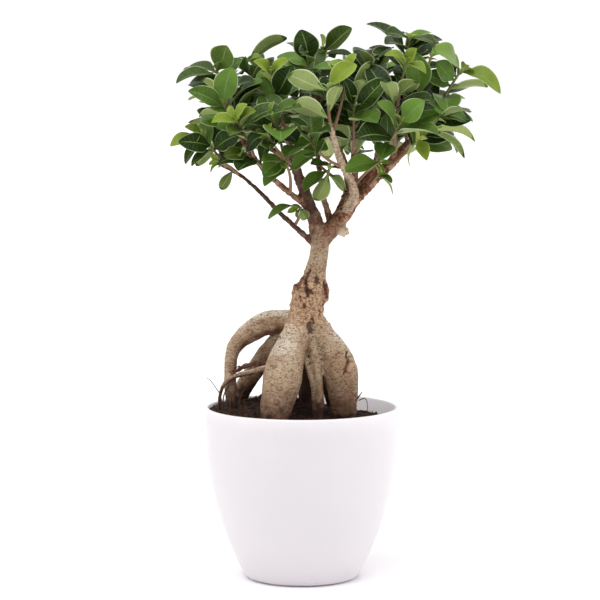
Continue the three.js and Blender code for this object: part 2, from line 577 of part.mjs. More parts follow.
// Leaf number k of a stem, counted from its tip, swung by the roll, lift and shortening of one try
function leafOf(spray, stem, k, [roll, lift, shrink]) {
  const [, , , , , length, turn] = sprays[spray];
  const draw = (n) => chance(spray * 31 + k * 7 + n);
  const back = growth.firstLeaf + growth.spacing * k ** 0.92;
  const t = Math.max(growth.bareShare, 1 - back / stem.getLength());
  const axis = stem.getTangent(t);
  const flat = new THREE.Vector3().crossVectors(axis, up).normalize();
  const rise = new THREE.Vector3().crossVectors(flat, axis);
  const about = THREE.MathUtils.degToRad(turn + roll + growth.stray * (draw(1) - 0.5) + growth.turn * k);
  const outwards = flat.multiplyScalar(Math.cos(about)).addScaledVector(rise, Math.sin(about));
  const opened = growth.openFirst + growth.openMore * (1 - Math.exp(-k / 2));
  const open = THREE.MathUtils.degToRad(opened + lift + growth.stray * (draw(2) - 0.5));
  const along = axis
    .clone()
    .multiplyScalar(Math.cos(open))
    .addScaledVector(outwards, Math.sin(open))
    .addScaledVector(light, leaf.lift)
    .normalize();
  const twist = THREE.MathUtils.degToRad(leaf.twist * (draw(6) - 0.5));
  const side = new THREE.Vector3()
    .crossVectors(along, axis.clone().add(light))
    .normalize()
    .applyAxisAngle(along, twist);
  const face = new THREE.Vector3().crossVectors(side, along);
  const age = Math.min(1, growth.youngest + growth.perLeaf * k);
  const grown = length * age * shrink * (0.9 + 0.2 * draw(3));
  return {
    base: stem.getPoint(t),
    along,
    side,
    face,
    length: grown,
    width: grown * leaf.widthRatio * (0.92 + 0.16 * draw(4)),
    bend: leaf.bend * (0.5 + draw(5)),
  };
}

// How far a leaf's blade keeps from other things, and how far away it looks for them
const clear = { sibling: 0.9, leaf: 1.5, wood: 1.1, search: 3, view: 0.3 };
const jointSamples = 35; // near the joint, where seen leaves of one stem may touch
const viewSlope = 0.1; // the photograph looks down by this much
const depthTries = [0, -5, 5, -10, 10, -15, 15, -20, 20, -26, 26];

// The ways in which a leaf is swung clear of what is already there: roll, lift and shrink
const tries = [
  [0, 0, 1], [14, 0, 1], [-14, 0, 1], [0, -14, 1], [0, 14, 1], [26, -8, 1], [-26, -8, 1], [26, 10, 0.95],
  [-26, 10, 0.95], [0, -28, 0.92], [40, 0, 0.92], [-40, 0, 0.92], [40, -20, 0.85], [-40, -20, 0.85],
  [60, 0, 0.85], [-60, 0, 0.85], [0, 30, 0.8], [20, -34, 0.75], [-20, -34, 0.75],
];

function isClear(blade, spray, placed) {
  const samples = samplesOf(blade);
  const middle = leafPoint(blade, 0, 0.5);
  const touchesLeaf = placed.some((other) => {
    if (other.middle.distanceTo(middle) > (other.length + blade.length) / 2 + clear.search) return false;
    const reach = other.spray === spray ? clear.sibling : clear.leaf;
    const skip = other.spray === spray && blade.seen && other.seen ? jointSamples : 0;
    return (
      samples.slice(skip).some((point) => nearLeaf(other, point, reach)) ||
      other.samples.slice(skip).some((point) => nearLeaf(blade, point, reach))
    );
  });
  if (touchesLeaf) return false;
  return !stretches.some(
    ({ a, b, r, owner }) =>
      owner !== spray &&
      distanceToSegment(middle, a, b) < blade.length &&
      samples.some((point) => distanceToSegment(point, a, b) < r + clear.wood),
  );
}

// Whether a leaf that fills in would stand before the middle of a seen one
function hidesSeen(blade, placed) {
  const samples = samplesOf(blade);
  return placed.some(({ seen, middle, length }) => {
    const across = (point) =>
      Math.hypot(point.x - middle.x, point.z - middle.z + viewSlope * (point.y - middle.y));
    return seen && samples.some((point) => point.y < middle.y && across(point) < clear.view * length);
  });
}

// The seen leaves come first, then the leaves that fill in the rest of each stem
function placeLeaves() {
  const placed = [];
  const keep = (blade, spray) =>
    placed.push({ ...blade, spray, samples: samplesOf(blade), middle: leafPoint(blade, 0, 0.5) });
  seenLeaves.forEach((row) => {
    const spray = row[0] - 1;
    const found = depthTries
      .map((depth) => seenLeaf(row, depth))
      .find((blade) => isClear(blade, spray, placed));
    if (found) keep(found, spray);
  });
  sprays.forEach(([, , , , count], spray) => {
    const first = placed.some((blade) => blade.spray === spray) ? firstFilling : 0;
    for (let k = first; k < first + count; k++) {
      const found = tries
        .map((swing) => leafOf(spray, stems[spray], k, swing))
        .find((blade) => isClear(blade, spray, placed) && !hidesSeen(blade, placed));
      if (found) keep(found, spray);
    }
  });
  return placed;
}

// A blade of even thickness: a foot in the stem, two rows and a point
function bladeSolid(blade) {
  const half = leaf.thickness / 2;
  const face = (lift) => [
    leafPoint(blade, 0, 0, lift),
    ...[1, 2].flatMap((row) => [-1, 1].map((u) => leafPoint(blade, u, leaf.outline[row][0], lift))),
    leafPoint(blade, 0, 1, lift),
  ];
  const points = [...face(half), ...face(-half)];
  const below = points.length / 2;
  const top = [[0, 2, 1], [1, 2, 4], [1, 4, 3], [3, 4, 5]];
  const edge = [0, 2, 4, 5, 3, 1];
  const index = [
    ...top.flat(),
    ...top.flatMap(([a, b, c]) => [a + below, c + below, b + below]),
    ...edge.flatMap((a, i) => {
      const b = edge[(i + 1) % edge.length];
      return [a, a + below, b + below, a, b + below, b];
    }),
  ];
  const geometry = new THREE.BufferGeometry();
  geometry.setAttribute(
    "position",
    new THREE.Float32BufferAttribute(points.flatMap(({ x, y, z }) => [x, y, z]), 3),
  );
  geometry.setIndex(index);
  return solidOf(geometry);
}

function spraySolid(spray, blades, woodHole) {
  const radiusAt = (t) => THREE.MathUtils.lerp(twig.baseRadius, twig.tipRadius, t);
  const stem = solidOf(limb(stems[spray], radiusAt, twig.sides, twig.rings));
  const whole = blades.reduce((made, blade) => made.add(bladeSolid(blade)), stem);
  return largestPiece(whole.subtract(woodHole));
}

const materials = {
  whitePot: new THREE.MeshStandardMaterial({ color: 0xf2eef2, roughness: 0.45, metalness: 0 }),
  pottingSoil: new THREE.MeshStandardMaterial({ color: 0x3a241b, roughness: 0.95, metalness: 0 }),
  bark: new THREE.MeshStandardMaterial({ color: 0xb59a7d, roughness: 0.8, metalness: 0 }),
  foliage: new THREE.MeshStandardMaterial({ color: 0x3f6b2c, roughness: 0.4, metalness: 0 }),
};

function named(name, solid, material) {
  const mesh = new THREE.Mesh(geometryOf(solid), material);
  mesh.name = name;
  return mesh;
}

const plant = new THREE.Group();
const wood = woodSolid(0);
const woodHole = woodSolid(gap);
plant.add(named("pot", potSolid(), materials.whitePot));
plant.add(named("soil", soilSolid(woodHole), materials.pottingSoil));
plant.add(named("roots_trunk_boughs", wood, materials.bark));

const blades = placeLeaves();
sprays.forEach((_, spray) => {
  const own = blades.filter((blade) => blade.spray === spray);
  const name = `leafy_stem_${String(spray + 1).padStart(2, "0")}`;
  plant.add(named(name, spraySolid(spray, own, woodHole), materials.foliage));
});

export default plant;
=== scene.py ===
import math

import bpy
import numpy as np
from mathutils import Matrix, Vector, noise


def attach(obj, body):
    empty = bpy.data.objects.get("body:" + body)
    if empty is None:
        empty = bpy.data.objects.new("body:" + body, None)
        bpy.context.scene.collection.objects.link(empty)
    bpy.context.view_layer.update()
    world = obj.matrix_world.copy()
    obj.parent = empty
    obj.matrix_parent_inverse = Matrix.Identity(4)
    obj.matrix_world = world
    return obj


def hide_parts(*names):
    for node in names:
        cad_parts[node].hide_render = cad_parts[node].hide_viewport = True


# A ginseng ficus in a white pot. Tables are in millimetres, the scene is in metres.
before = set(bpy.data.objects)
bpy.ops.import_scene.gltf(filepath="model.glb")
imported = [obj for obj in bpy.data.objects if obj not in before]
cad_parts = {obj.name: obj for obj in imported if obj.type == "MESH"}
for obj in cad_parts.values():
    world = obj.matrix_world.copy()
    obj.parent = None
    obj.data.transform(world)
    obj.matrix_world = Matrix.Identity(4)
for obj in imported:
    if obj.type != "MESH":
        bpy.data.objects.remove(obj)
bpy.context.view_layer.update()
mm = 0.001

# camera first: where the photo was taken from
cameraSet = {"place": (-1.3, -1700, 365), "tilt": 84.54, "lens": 141.7, "sensor": 36}


def makeCamera():
    place = Vector(cameraSet["place"]) * mm
    bpy.ops.object.camera_add(location=place, rotation=(math.radians(cameraSet["tilt"]), 0, 0))
    camera = bpy.context.object
    camera.name = "camera"
    camera.data.lens = cameraSet["lens"]
    camera.data.sensor_width = cameraSet["sensor"]
    bpy.context.scene.camera = camera


# small tools


def deselectAll():
    if bpy.context.mode != "OBJECT":
        bpy.ops.object.mode_set(mode="OBJECT")
    bpy.ops.object.select_all(action="DESELECT")


def pickOnly(*pieces):
    deselectAll()
    for piece in pieces:
        piece.select_set(True)
    bpy.context.view_layer.objects.active = pieces[0]


def applyModifier(piece, kind, **settings):
    pickOnly(piece)
    modifier = piece.modifiers.new(kind.lower(), kind)
    for setting, value in settings.items():
        setattr(modifier, setting, value)
    bpy.ops.object.modifier_apply(modifier=modifier.name)


def selectWhere(piece, test):  # vertices whose place in mm passes the test, then back to edit mode
    bpy.ops.object.mode_set(mode="EDIT")
    bpy.ops.mesh.select_mode(type="VERT")
    bpy.ops.mesh.select_all(action="DESELECT")
    bpy.ops.object.mode_set(mode="OBJECT")
    for vertex in piece.data.vertices:
        vertex.select = test(vertex.co / mm)
    bpy.ops.object.mode_set(mode="EDIT")


def pointsOf(piece):
    points = np.empty(len(piece.data.vertices) * 3, np.float32)
    piece.data.vertices.foreach_get("co", points)
    return points.reshape(-1, 3).astype(float) / mm


def movePoints(piece, points):
    piece.data.vertices.foreach_set("co", (points * mm).astype(np.float32).ravel())
    piece.data.update()


def giveValue(piece, name, values):  # a number at every vertex, for the materials to read
    count = len(piece.data.vertices)
    layer = piece.data.attributes.new(name, "FLOAT", "POINT")
    layer.data.foreach_set("value", np.broadcast_to(np.asarray(values, np.float32), count).copy())


def copyOf(blank, points):
    copy = blank.copy()
    copy.data = blank.data.copy()
    bpy.context.collection.objects.link(copy)
    movePoints(copy, points)
    return copy


def joined(pieces, name):
    pickOnly(*pieces)
    bpy.ops.object.join()
    piece = bpy.context.object
    piece.name = name
    piece.data.name = name
    return piece


def tube(path, sides):  # a closed round limb through points of x, y, z and radius
    curve = bpy.data.curves.new("limb", "CURVE")
    curve.dimensions = "3D"
    curve.bevel_depth = mm
    curve.bevel_resolution = max(0, sides // 2 - 2)
    curve.use_fill_caps = True
    spline = curve.splines.new("POLY")
    spline.points.add(len(path) - 1)
    for point, (x, y, z, radius) in zip(spline.points, path):
        point.co = (x * mm, y * mm, z * mm, 1)
        point.radius = radius
    piece = bpy.data.objects.new("limb", curve)
    bpy.context.collection.objects.link(piece)
    pickOnly(piece)
    bpy.ops.object.convert(target="MESH")
    return bpy.context.object


def rough(point, size, shift=0):  # smooth noise from -1 to 1 with lumps of about size mm
    return noise.noise(Vector(point) / size + Vector((shift, 0, 0)))


def unit(vector):
    return vector / np.linalg.norm(vector)


def chance(n):  # the part's own fixed scatter from 0 to 1
    spread, stretch = 12.9898, 43758.5453
    s = math.sin(n * spread) * stretch
    return s - math.floor(s)


def between(low, high, share):
    return low + (high - low) * share


# materials


def linear(colour):  # a hex colour through the sRGB curve
    channels = [int(colour[i:i + 2], 16) / 255 for i in (1, 3, 5)]
    return [c / 12.92 if c <= 0.04045 else ((c + 0.055) / 1.055) ** 2.4 for c in channels] + [1]


def addNode(tree, kind, settings, inputs):  # inputs go by their name, or by their number on a Math node
    node = tree.nodes.new("ShaderNode" + kind)
    for name, value in settings.items():
        setattr(node, name, value)
    for name, value in inputs.items():
        socket = next(s for n, s in enumerate(node.inputs) if s.enabled and name in (s.name, n))
        if isinstance(value, str):
            value = linear(value)
        if isinstance(value, bpy.types.Node):
            value = next(s for s in value.outputs if s.enabled)
        if isinstance(value, bpy.types.NodeSocket):
            tree.links.new(value, socket)
        else:
            socket.default_value = value
    return node


def newMaterial(name, roughness, ior):  # only the shader, set to typical values, and where the piece is
    material = bpy.data.materials.new(name)
    material.use_nodes = True
    tree = material.node_tree
    tree.nodes.clear()
    shader = addNode(tree, "BsdfPrincipled", {}, {"Roughness": roughness, "IOR": ior})
    addNode(tree, "OutputMaterial", {}, {"Surface": shader})
    return material, tree, shader, addNode(tree, "TexCoord", {}, {})


def joinTo(tree, shader, **nodes):  # a socket's name has _ for its spaces
    for socket, node in nodes.items():
        output = next(s for s in node.outputs if s.enabled)
        tree.links.new(output, shader.inputs[socket.replace("_", " ")])


def perMm(size):  # a texture scale whose lumps measure size mm
    return 1 / (size * mm)


colourMix = {"data_type": "RGBA"}
softStep = {"interpolation_type": "SMOOTHSTEP"}


def layered(tree, ground, layers):
    # a layer is what brings it in, from where to where, how strongly, and its colour
    for value, start, end, most, colour in layers:
        share = addNode(
            tree, "MapRange", softStep, {"Value": value, "From Min": start, "From Max": end, "To Max": most}
        )
        ground = addNode(tree, "Mix", colourMix, {"Factor": share, "A": ground, "B": colour})
    return ground


potFinish = {
    "white": "#f6edf6", "shade": "#f2e9f2", "cloud": 45, "pebble": 0.9, "pebbleHeight": 0.05, "relief": 0.05,
    "sheen": (0.3, 0.4), "glow": 0.85, "glowDepth": 8,
}


def mouldedPolypropylene():
    # Injection-moulded polypropylene: an even white with a soft sheen and the mould's faint pebble,
    # thin enough for some daylight to come through the wall
    look = potFinish
    material, tree, shader, spot = newMaterial("moulded_polypropylene", 0.34, 1.49)
    place, height = spot.outputs["Object"], look["pebbleHeight"] * mm
    cloud = addNode(tree, "TexNoise", {}, {"Vector": place, "Scale": perMm(look["cloud"])})
    white = addNode(tree, "Mix", colourMix, {"Factor": cloud, "A": look["white"], "B": look["shade"]})
    pebble = addNode(tree, "TexNoise", {}, {"Vector": place, "Scale": perMm(look["pebble"]), "Detail": 3})
    bump = addNode(tree, "Bump", {}, {"Strength": look["relief"], "Distance": height, "Height": pebble})
    sleek, dull = look["sheen"]
    sheen = addNode(tree, "MapRange", {}, {"Value": cloud, "To Min": sleek, "To Max": dull})
    shader.inputs["Subsurface Weight"].default_value = look["glow"]
    shader.inputs["Subsurface Scale"].default_value = look["glowDepth"] * mm
    shader.inputs["Subsurface Radius"].default_value = (1, 1, 1)  # no tint
    joinTo(tree, shader, Base_Color=white, Roughness=sheen, Normal=bump)
    return material


peatFinish = {
    "black": "#120906", "brown": "#38231a", "bits": "#6d4634", "patch": 9, "crumb": 2.2, "grain": 0.6,
    "bitShare": (0.72, 0.9, 0.5), "grainHeight": 0.4, "relief": 0.7,
}


def blackPeat():
    # Potting peat: milled black-brown moss, dull all over, with paler fibres and crumbs of bark
    look = peatFinish
    material, tree, shader, spot = newMaterial("black_peat", 0.95, 1.4)
    place, height = spot.outputs["Object"], look["grainHeight"] * mm
    patch = addNode(tree, "TexNoise", {}, {"Vector": place, "Scale": perMm(look["patch"]), "Detail": 3})
    ground = addNode(tree, "Mix", colourMix, {"Factor": patch, "A": look["black"], "B": look["brown"]})
    crumb = addNode(tree, "TexVoronoi", {}, {"Vector": place, "Scale": perMm(look["crumb"])})
    colour = layered(tree, ground, [(crumb.outputs["Color"], *look["bitShare"], look["bits"])])
    grain = addNode(tree, "TexNoise", {}, {"Vector": place, "Scale": perMm(look["grain"]), "Detail": 6})
    bump = addNode(tree, "Bump", {}, {"Strength": look["relief"], "Distance": height, "Height": grain})
    joinTo(tree, shader, Base_Color=colour, Normal=bump)
    return material


barkFinish = {
    "pale": "#b6a084", "paintedTopLight": "#eae0d0", "tan": "#8b6545", "rust": "#8a5a3c", "low": "#5a341d",
    "pore": "#5e3a24", "cork": "#d0ad89", "corkDark": "#87593c", "bough": "#925f43", "boughDark": "#422318",
    "boughPale": "#c9a487", "crease": "#634028", "scar": "#4a2918", "rawAndLit": "#dfc9ae", "dirtAndShade": "#3f2619",
    "cloud": 16, "patch": 7, "mottle": 1.7, "line": 5, "fine": 0.5,
    "pores": [(2.9, 0.27, 0.85), (1.5, 0.3, 0.6)],  # spacing, radius as a share of it, strength
    "poreEdge": (1.35, 0.65), "poreKept": (0.2, 0.5), "poreDepth": 0.5, "mottled": (0.36, 0.66, 1),
    "flattened": (1, 1, 1.8), "stretched": (0.4, 0.4, 2.2), "lineWidth": 0.016,
    "lowFrom": 156, "lowTo": 112,  # heights between which the roots darken
    "relief": (0.6, 0.5), "fineRelief": (0.35, 0.2), "mottleHeight": 1.2, "sheen": (0.62, 0.85),
}


def figBark():
    # Bark of a grafted fig: grey-tan skin crowded with brown corky pores, a rough cork-coloured graft
    # and scaly red-brown boughs, all nearly dull
    # Painted light: the upward faces and the front bough are painted paler. Painted shade: the downward
    # faces, the grooves, the clefts and the hidden root are painted darker.
    look = barkFinish
    material, tree, shader, spot = newMaterial("fig_bark", 0.72, 1.45)
    place = spot.outputs["Object"]
    cloud, patch, mottle, fine = [
        addNode(tree, "TexNoise", {}, {"Vector": place, "Scale": perMm(look[size]), "Detail": 4})
        for size in ("cloud", "patch", "mottle", "fine")
    ]
    flat, long = [
        addNode(tree, "Mapping", {}, {"Vector": place, "Scale": look[way]})
        for way in ("flattened", "stretched")
    ]
    line = addNode(tree, "TexNoise", {}, {"Vector": long, "Scale": perMm(look["line"]), "Detail": 2})
    crack = addNode(tree, "Math", {"operation": "COMPARE"}, {0: line, 1: 0.5, 2: look["lineWidth"]})
    height = addNode(tree, "SeparateXYZ", {}, {"Vector": place}).outputs["Z"]
    under, graft, bough, crease, dirtAndShade, scar, rawAndLit = [
        addNode(tree, "Attribute", {"attribute_name": name}, {}).outputs["Fac"]
        for name in ("under", "graft", "bough", "crease", "dirtAndShade", "scar", "rawAndLit")
    ]
    uneven = addNode(
        tree, "MapRange", softStep,
        {"Value": patch, "From Min": 0.35, "From Max": 0.6, "To Min": 0.25, "To Max": 0.85},
    )
    cork = layered(tree, look["cork"], [(mottle, *look["mottled"], look["corkDark"])])
    scales = layered(tree, look["bough"], [
        (mottle, *look["mottled"], look["boughDark"]),
        (patch, 0.5, 0.62, 0.6, look["boughPale"]),
    ])
    pit, pores = 0.0, []
    (wide, narrow), (few, most) = look["poreEdge"], look["poreKept"]
    for spacing, radius, strength in look["pores"]:
        cell = addNode(tree, "TexVoronoi", {}, {"Vector": flat, "Scale": perMm(spacing)}).outputs
        kept = addNode(
            tree, "MapRange", softStep,
            {"Value": cell["Color"], "From Min": few, "From Max": most, "To Max": strength},
        )
        pores.append((cell["Distance"], radius * wide, radius * narrow, kept, look["pore"]))
        pit = addNode(
            tree, "Math", {"operation": "MULTIPLY_ADD"}, {0: cell["Distance"], 1: look["poreDepth"], 2: pit}
        )
    skin = layered(tree, look["pale"], [
        (cloud, 0.4, 0.66, 0.6, look["tan"]),
        (patch, 0.52, 0.7, 0.3, look["rust"]),
        # painted light: bark that faces up is painted pale
        (under, -0.2, -0.85, 0.8, look["paintedTopLight"]),
        # painted shade: bark that faces down is painted darker and browner
        (under, 0, 0.9, uneven, look["low"]),
        # towards the soil the roots are painted darker: partly peat stain, partly painted shade from the dark
        # soil
        (height, look["lowFrom"] * mm, look["lowTo"] * mm, 0.8, look["low"]),
        (mottle, 0.48, 0.66, 0.4, look["crease"]),
        (crack, 0, 1, 0.6, look["crease"]),
        (graft, 0, 1, 0.85, cork),
        (bough, 0, 1, 1, scales),
        # the stub's frayed raw wood, and painted light on the front bough
        (rawAndLit, 0, 1, 0.9, look["rawAndLit"]),
        *pores,
        # painted shade: the cut grooves of the creases are painted dark
        (crease, 0, 1, 1, look["crease"]),
        (dirtAndShade, 0, 1, 0.95, look["dirtAndShade"]),
        # the clefts are cut in and painted dark: partly the wound's darker bark, partly painted shade in the
        # cleft
        (scar, 0.2, 0.9, 0.92, look["scar"]),
    ])

    lift = addNode(tree, "Math", {"operation": "MULTIPLY_ADD"}, {0: mottle, 1: look["mottleHeight"], 2: pit})
    strength, deep = look["relief"]
    broad = addNode(tree, "Bump", {}, {"Strength": strength, "Distance": deep * mm, "Height": lift})
    strength, deep = look["fineRelief"]
    bump = addNode(
        tree, "Bump", {}, {"Strength": strength, "Distance": deep * mm, "Height": fine, "Normal": broad}
    )
    sleek, dull = look["sheen"]
    sheen = addNode(
        tree, "MapRange", {},
        {"Value": mottle, "From Min": 0.3, "From Max": 0.7, "To Min": sleek, "To Max": dull},
    )
    joinTo(tree, shader, Base_Color=skin, Roughness=sheen, Normal=bump)
    return material


twigFinish = {
    "old": "#8a6850", "green": "#7d8c44", "mottle": 1.2, "mottleHeight": 0.2, "shade": (0.65, 1.25),
    "relief": 0.4,
}


def greenTwig():
    # Young fig shoots: brown bark at the foot, still green and smooth at the tip
    look = twigFinish
    material, tree, shader, spot = newMaterial("green_twig", 0.55, 1.45)
    place, height = spot.outputs["Object"], look["mottleHeight"] * mm
    mottle = addNode(tree, "TexNoise", {}, {"Vector": place, "Scale": perMm(look["mottle"]), "Detail": 3})
    youth = addNode(tree, "Attribute", {"attribute_name": "youth"}, {}).outputs["Fac"]
    bark = addNode(tree, "Mix", colourMix, {"Factor": youth, "A": look["old"], "B": look["green"]})
    dark, pale = look["shade"]
    shade = addNode(tree, "MapRange", {}, {"Value": mottle, "To Min": dark, "To Max": pale})
    grey = addNode(tree, "CombineColor", {}, {"Red": shade, "Green": shade, "Blue": shade})
    colour = addNode(
        tree, "Mix", {"data_type": "RGBA", "blend_type": "MULTIPLY"}, {"Factor": 1, "A": bark, "B": grey}
    )
    bump = addNode(tree, "Bump", {}, {"Strength": look["relief"], "Distance": height, "Height": mottle})
    joinTo(tree, shader, Base_Color=colour, Normal=bump)
    return material


leafFinish = {
    "upper": {
        "deep": "#1c3007", "fresh": "#608330", "young": "#91a738", "rib": "#7d9158", "edge": "#cad5a4",
        "sheen": (0.3, 0.46), "vein": 0.24,
    },
    "under": {
        "deep": "#6e8143", "fresh": "#9fae6c", "young": "#b1c05f", "rib": "#c2cb9c", "edge": "#dce4bc",
        "sheen": (0.45, 0.6), "vein": 0.22,
    },
    "ribWidth": 0.04, "edgeStart": 0.87, "gloss": 0.18,  # shares of the half blade, then of the usual shine
    "veinPairs": 11, "veinSlant": 1.5, "patch": 8, "pore": 2.2, "height": 0.35,
    "ribRelief": 0.5, "poreRelief": 0.6,
}


def figLeaf(side):
    # Leathery fig leaf: a waxy dark upper side with a soft shine, and a paler dull underside
    form, look = leafFinish, leafFinish[side]
    material, tree, shader, spot = newMaterial("fig_leaf_" + side, 0.4, 1.47)
    place, height = spot.outputs["Object"], form["height"] * mm
    split = addNode(tree, "SeparateXYZ", {}, {"Vector": spot.outputs["UV"]})
    along = split.outputs["Y"]
    fromRib = addNode(tree, "Math", {"operation": "MULTIPLY_ADD"}, {0: split.outputs["X"], 1: 2.0, 2: -1.0})
    across = addNode(tree, "Math", {"operation": "ABSOLUTE"}, {0: fromRib})
    youth, tone = [
        addNode(tree, "Attribute", {"attribute_name": name}, {}).outputs["Fac"] for name in ("youth", "tone")
    ]
    patch, pore = [
        addNode(tree, "TexNoise", {}, {"Vector": place, "Scale": perMm(form[size]), "Detail": 3})
        for size in ("patch", "pore")
    ]
    uneven = addNode(tree, "Math", {"operation": "MULTIPLY_ADD"}, {0: patch, 1: 0.6, 2: tone})
    greener = addNode(tree, "MapRange", {}, {"Value": patch, "To Min": 0.55, "To Max": 1.1})

    # side veins slant up from the midrib, and fade before the edge
    rows = addNode(tree, "Math", {"operation": "MULTIPLY"}, {0: along, 1: float(form["veinPairs"])})
    slant = addNode(
        tree, "Math", {"operation": "MULTIPLY_ADD"}, {0: across, 1: -form["veinSlant"], 2: rows}
    )
    saw = addNode(tree, "Math", {"operation": "PINGPONG"}, {0: slant, 1: 0.5})
    fade, ribLength, ridge, keel = [
        addNode(
            tree, "MapRange", softStep, {"Value": value, "From Min": start, "From Max": end, "To Max": most}
        )
        for value, start, end, most in (
            (across, 0.95, 0.5, look["vein"]), (along, 1.0, 0.75, 0.8), (saw, 0.36, 0.5, 0.3),
            (across, form["ribWidth"] * 1.6, 0, 0.7),
        )
    ]
    blade = layered(tree, look["deep"], [
        (uneven, 0.5, 1.4, 1, look["fresh"]),
        (youth, 0, 1, greener, look["young"]),
        (saw, 0.42, 0.49, fade, look["rib"]),
        (across, form["edgeStart"], 1.0, 0.85, look["edge"]),
        (across, form["ribWidth"] * 1.6, form["ribWidth"] * 0.5, ribLength, look["rib"]),
    ])

    ribHeight = addNode(tree, "Math", {"operation": "ADD"}, {0: ridge, 1: keel})
    ribs = addNode(
        tree, "Bump", {"invert": side == "upper"},
        {"Strength": form["ribRelief"], "Distance": height, "Height": ribHeight},
    )
    bump = addNode(
        tree, "Bump", {}, {"Strength": form["poreRelief"], "Distance": height, "Height": pore, "Normal": ribs}
    )
    sleek, dull = look["sheen"]
    sheen = addNode(
        tree, "MapRange", {},
        {"Value": patch, "From Min": 0.3, "From Max": 0.7, "To Min": sleek, "To Max": dull},
    )
    shader.inputs["Specular IOR Level"].default_value = form["gloss"]
    joinTo(tree, shader, Base_Color=blade, Roughness=sheen, Normal=bump)
    return material


def plainGrain(name, pale, dark, grain, roughness):  # a dull natural fibre, mottled along its grain
    material, tree, shader, spot = newMaterial(name, roughness, 1.45)
    place = spot.outputs["Object"]
    mottle = addNode(tree, "TexNoise", {}, {"Vector": place, "Scale": perMm(grain), "Detail": 4})
    colour = addNode(tree, "Mix", colourMix, {"Factor": mottle, "A": dark, "B": pale})
    bump = addNode(tree, "Bump", {}, {"Strength": 0.5, "Distance": 0.3 * mm, "Height": mottle})
    joinTo(tree, shader, Base_Color=colour, Normal=bump)
    return material


def agedBarkChip():
    # Composted bark: soft brown flakes, a shade paler than the peat round them
    return plainGrain("composted_bark", pale="#5b3a28", dark="#2e1c12", grain=1.3, roughness=0.9)


def rootFibre():
    # Dead fine roots: dry tan threads, dull
    return plainGrain("root_fibre", pale="#6e4b35", dark="#3b261a", grain=3, roughness=0.85)


def dryHairRoot():
    # Aerial roots that have dried: dark red-brown threads
    return plainGrain("dry_hair_root", pale="#6b4331", dark="#2c1a12", grain=1.5, roughness=0.8)


def frayedRootBark():
    # Peeled root bark: loose rust-red fibres
    return plainGrain("frayed_root_bark", pale="#75493a", dark="#3a2017", grain=1.2, roughness=0.85)


# the pot


potSize = {
    "height": 125, "rimRadius": 70.2, "baseRadius": 40.3, "swell": 2.35, "wall": 2.4, "floor": 3,
    "sides": 144, "footInset": 2, "footHeight": 1.4, "footEdge": 0.5, "footBevel": 0.15, "underside": 0.02,
    "lowest": 1.6, "lowestIn": 0.6, "lowestUp": 1.8, "wallFrom": 3, "levels": 26, "closer": 1.25,
    "rimRound": 0.8, "rimTurns": (0, 22, 45, 68, 90), "insideLevels": 12, "smoothBelow": 40,
}


def potRadius(z):
    share = min(max(z / potSize["height"], 0), 1)
    spread = potSize["rimRadius"] - potSize["baseRadius"]
    return potSize["baseRadius"] + spread * (1 - (1 - share) ** potSize["swell"])


def turnSolid(name, profile, sides):  # a disc drawn up through rings of (radius, height)
    deselectAll()
    radius, height = profile[0]
    bpy.ops.mesh.primitive_circle_add(
        vertices=sides, radius=radius * mm, fill_type="NGON", location=(0, 0, height * mm)
    )
    piece = bpy.context.object
    piece.name = name
    bpy.ops.object.transform_apply(location=True, rotation=True, scale=True)
    bpy.ops.object.mode_set(mode="EDIT")
    bpy.ops.mesh.select_all(action="SELECT")
    for (r0, z0), (r1, z1) in zip(profile, profile[1:]):
        bpy.ops.mesh.extrude_region_move(TRANSFORM_OT_translate={"value": (0, 0, (z1 - z0) * mm)})
        bpy.ops.transform.resize(value=(r1 / r0, r1 / r0, 1), center_override=(0, 0, z1 * mm))
    bpy.ops.mesh.select_all(action="SELECT")
    bpy.ops.mesh.normals_make_consistent(inside=False)
    bpy.ops.object.mode_set(mode="OBJECT")
    return piece


def makePot():
    size = potSize
    foot, edge, bevel = size["baseRadius"] - size["footInset"], size["footEdge"], size["footBevel"]
    top, rim, wall, lip = size["height"], size["rimRadius"], size["wall"], size["rimRound"]
    lowest = potRadius(size["lowest"])
    profile = [(foot - edge, 0), (foot - bevel, bevel), (foot, edge), (foot, size["footHeight"])]
    profile.append((lowest - size["lowestIn"], size["footHeight"] + size["underside"]))
    profile.append((lowest, size["lowestUp"]))
    outside = np.linspace(0, 1, size["levels"]) ** size["closer"]
    profile += [(potRadius(z), z) for z in between(size["wallFrom"], top - lip, outside)]
    turns = [math.radians(turn) for turn in size["rimTurns"]]
    profile += [(rim - lip + lip * math.cos(a), top - lip + lip * math.sin(a)) for a in turns[1:]]
    profile += [(rim - wall + lip - lip * math.cos(a), top - lip + lip * math.sin(a)) for a in turns[::-1]]
    inside = np.linspace(top - 2 * lip, size["floor"], size["insideLevels"])
    profile += [(potRadius(z) - wall, z) for z in inside]
    pot = turnSolid("white_pot", profile, size["sides"])
    bpy.ops.object.shade_smooth_by_angle(angle=math.radians(size["smoothBelow"]))
    pot.data.materials.append(mouldedPolypropylene())
    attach(pot, "root")
    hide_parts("pot")
    print("pot made")


# the soil


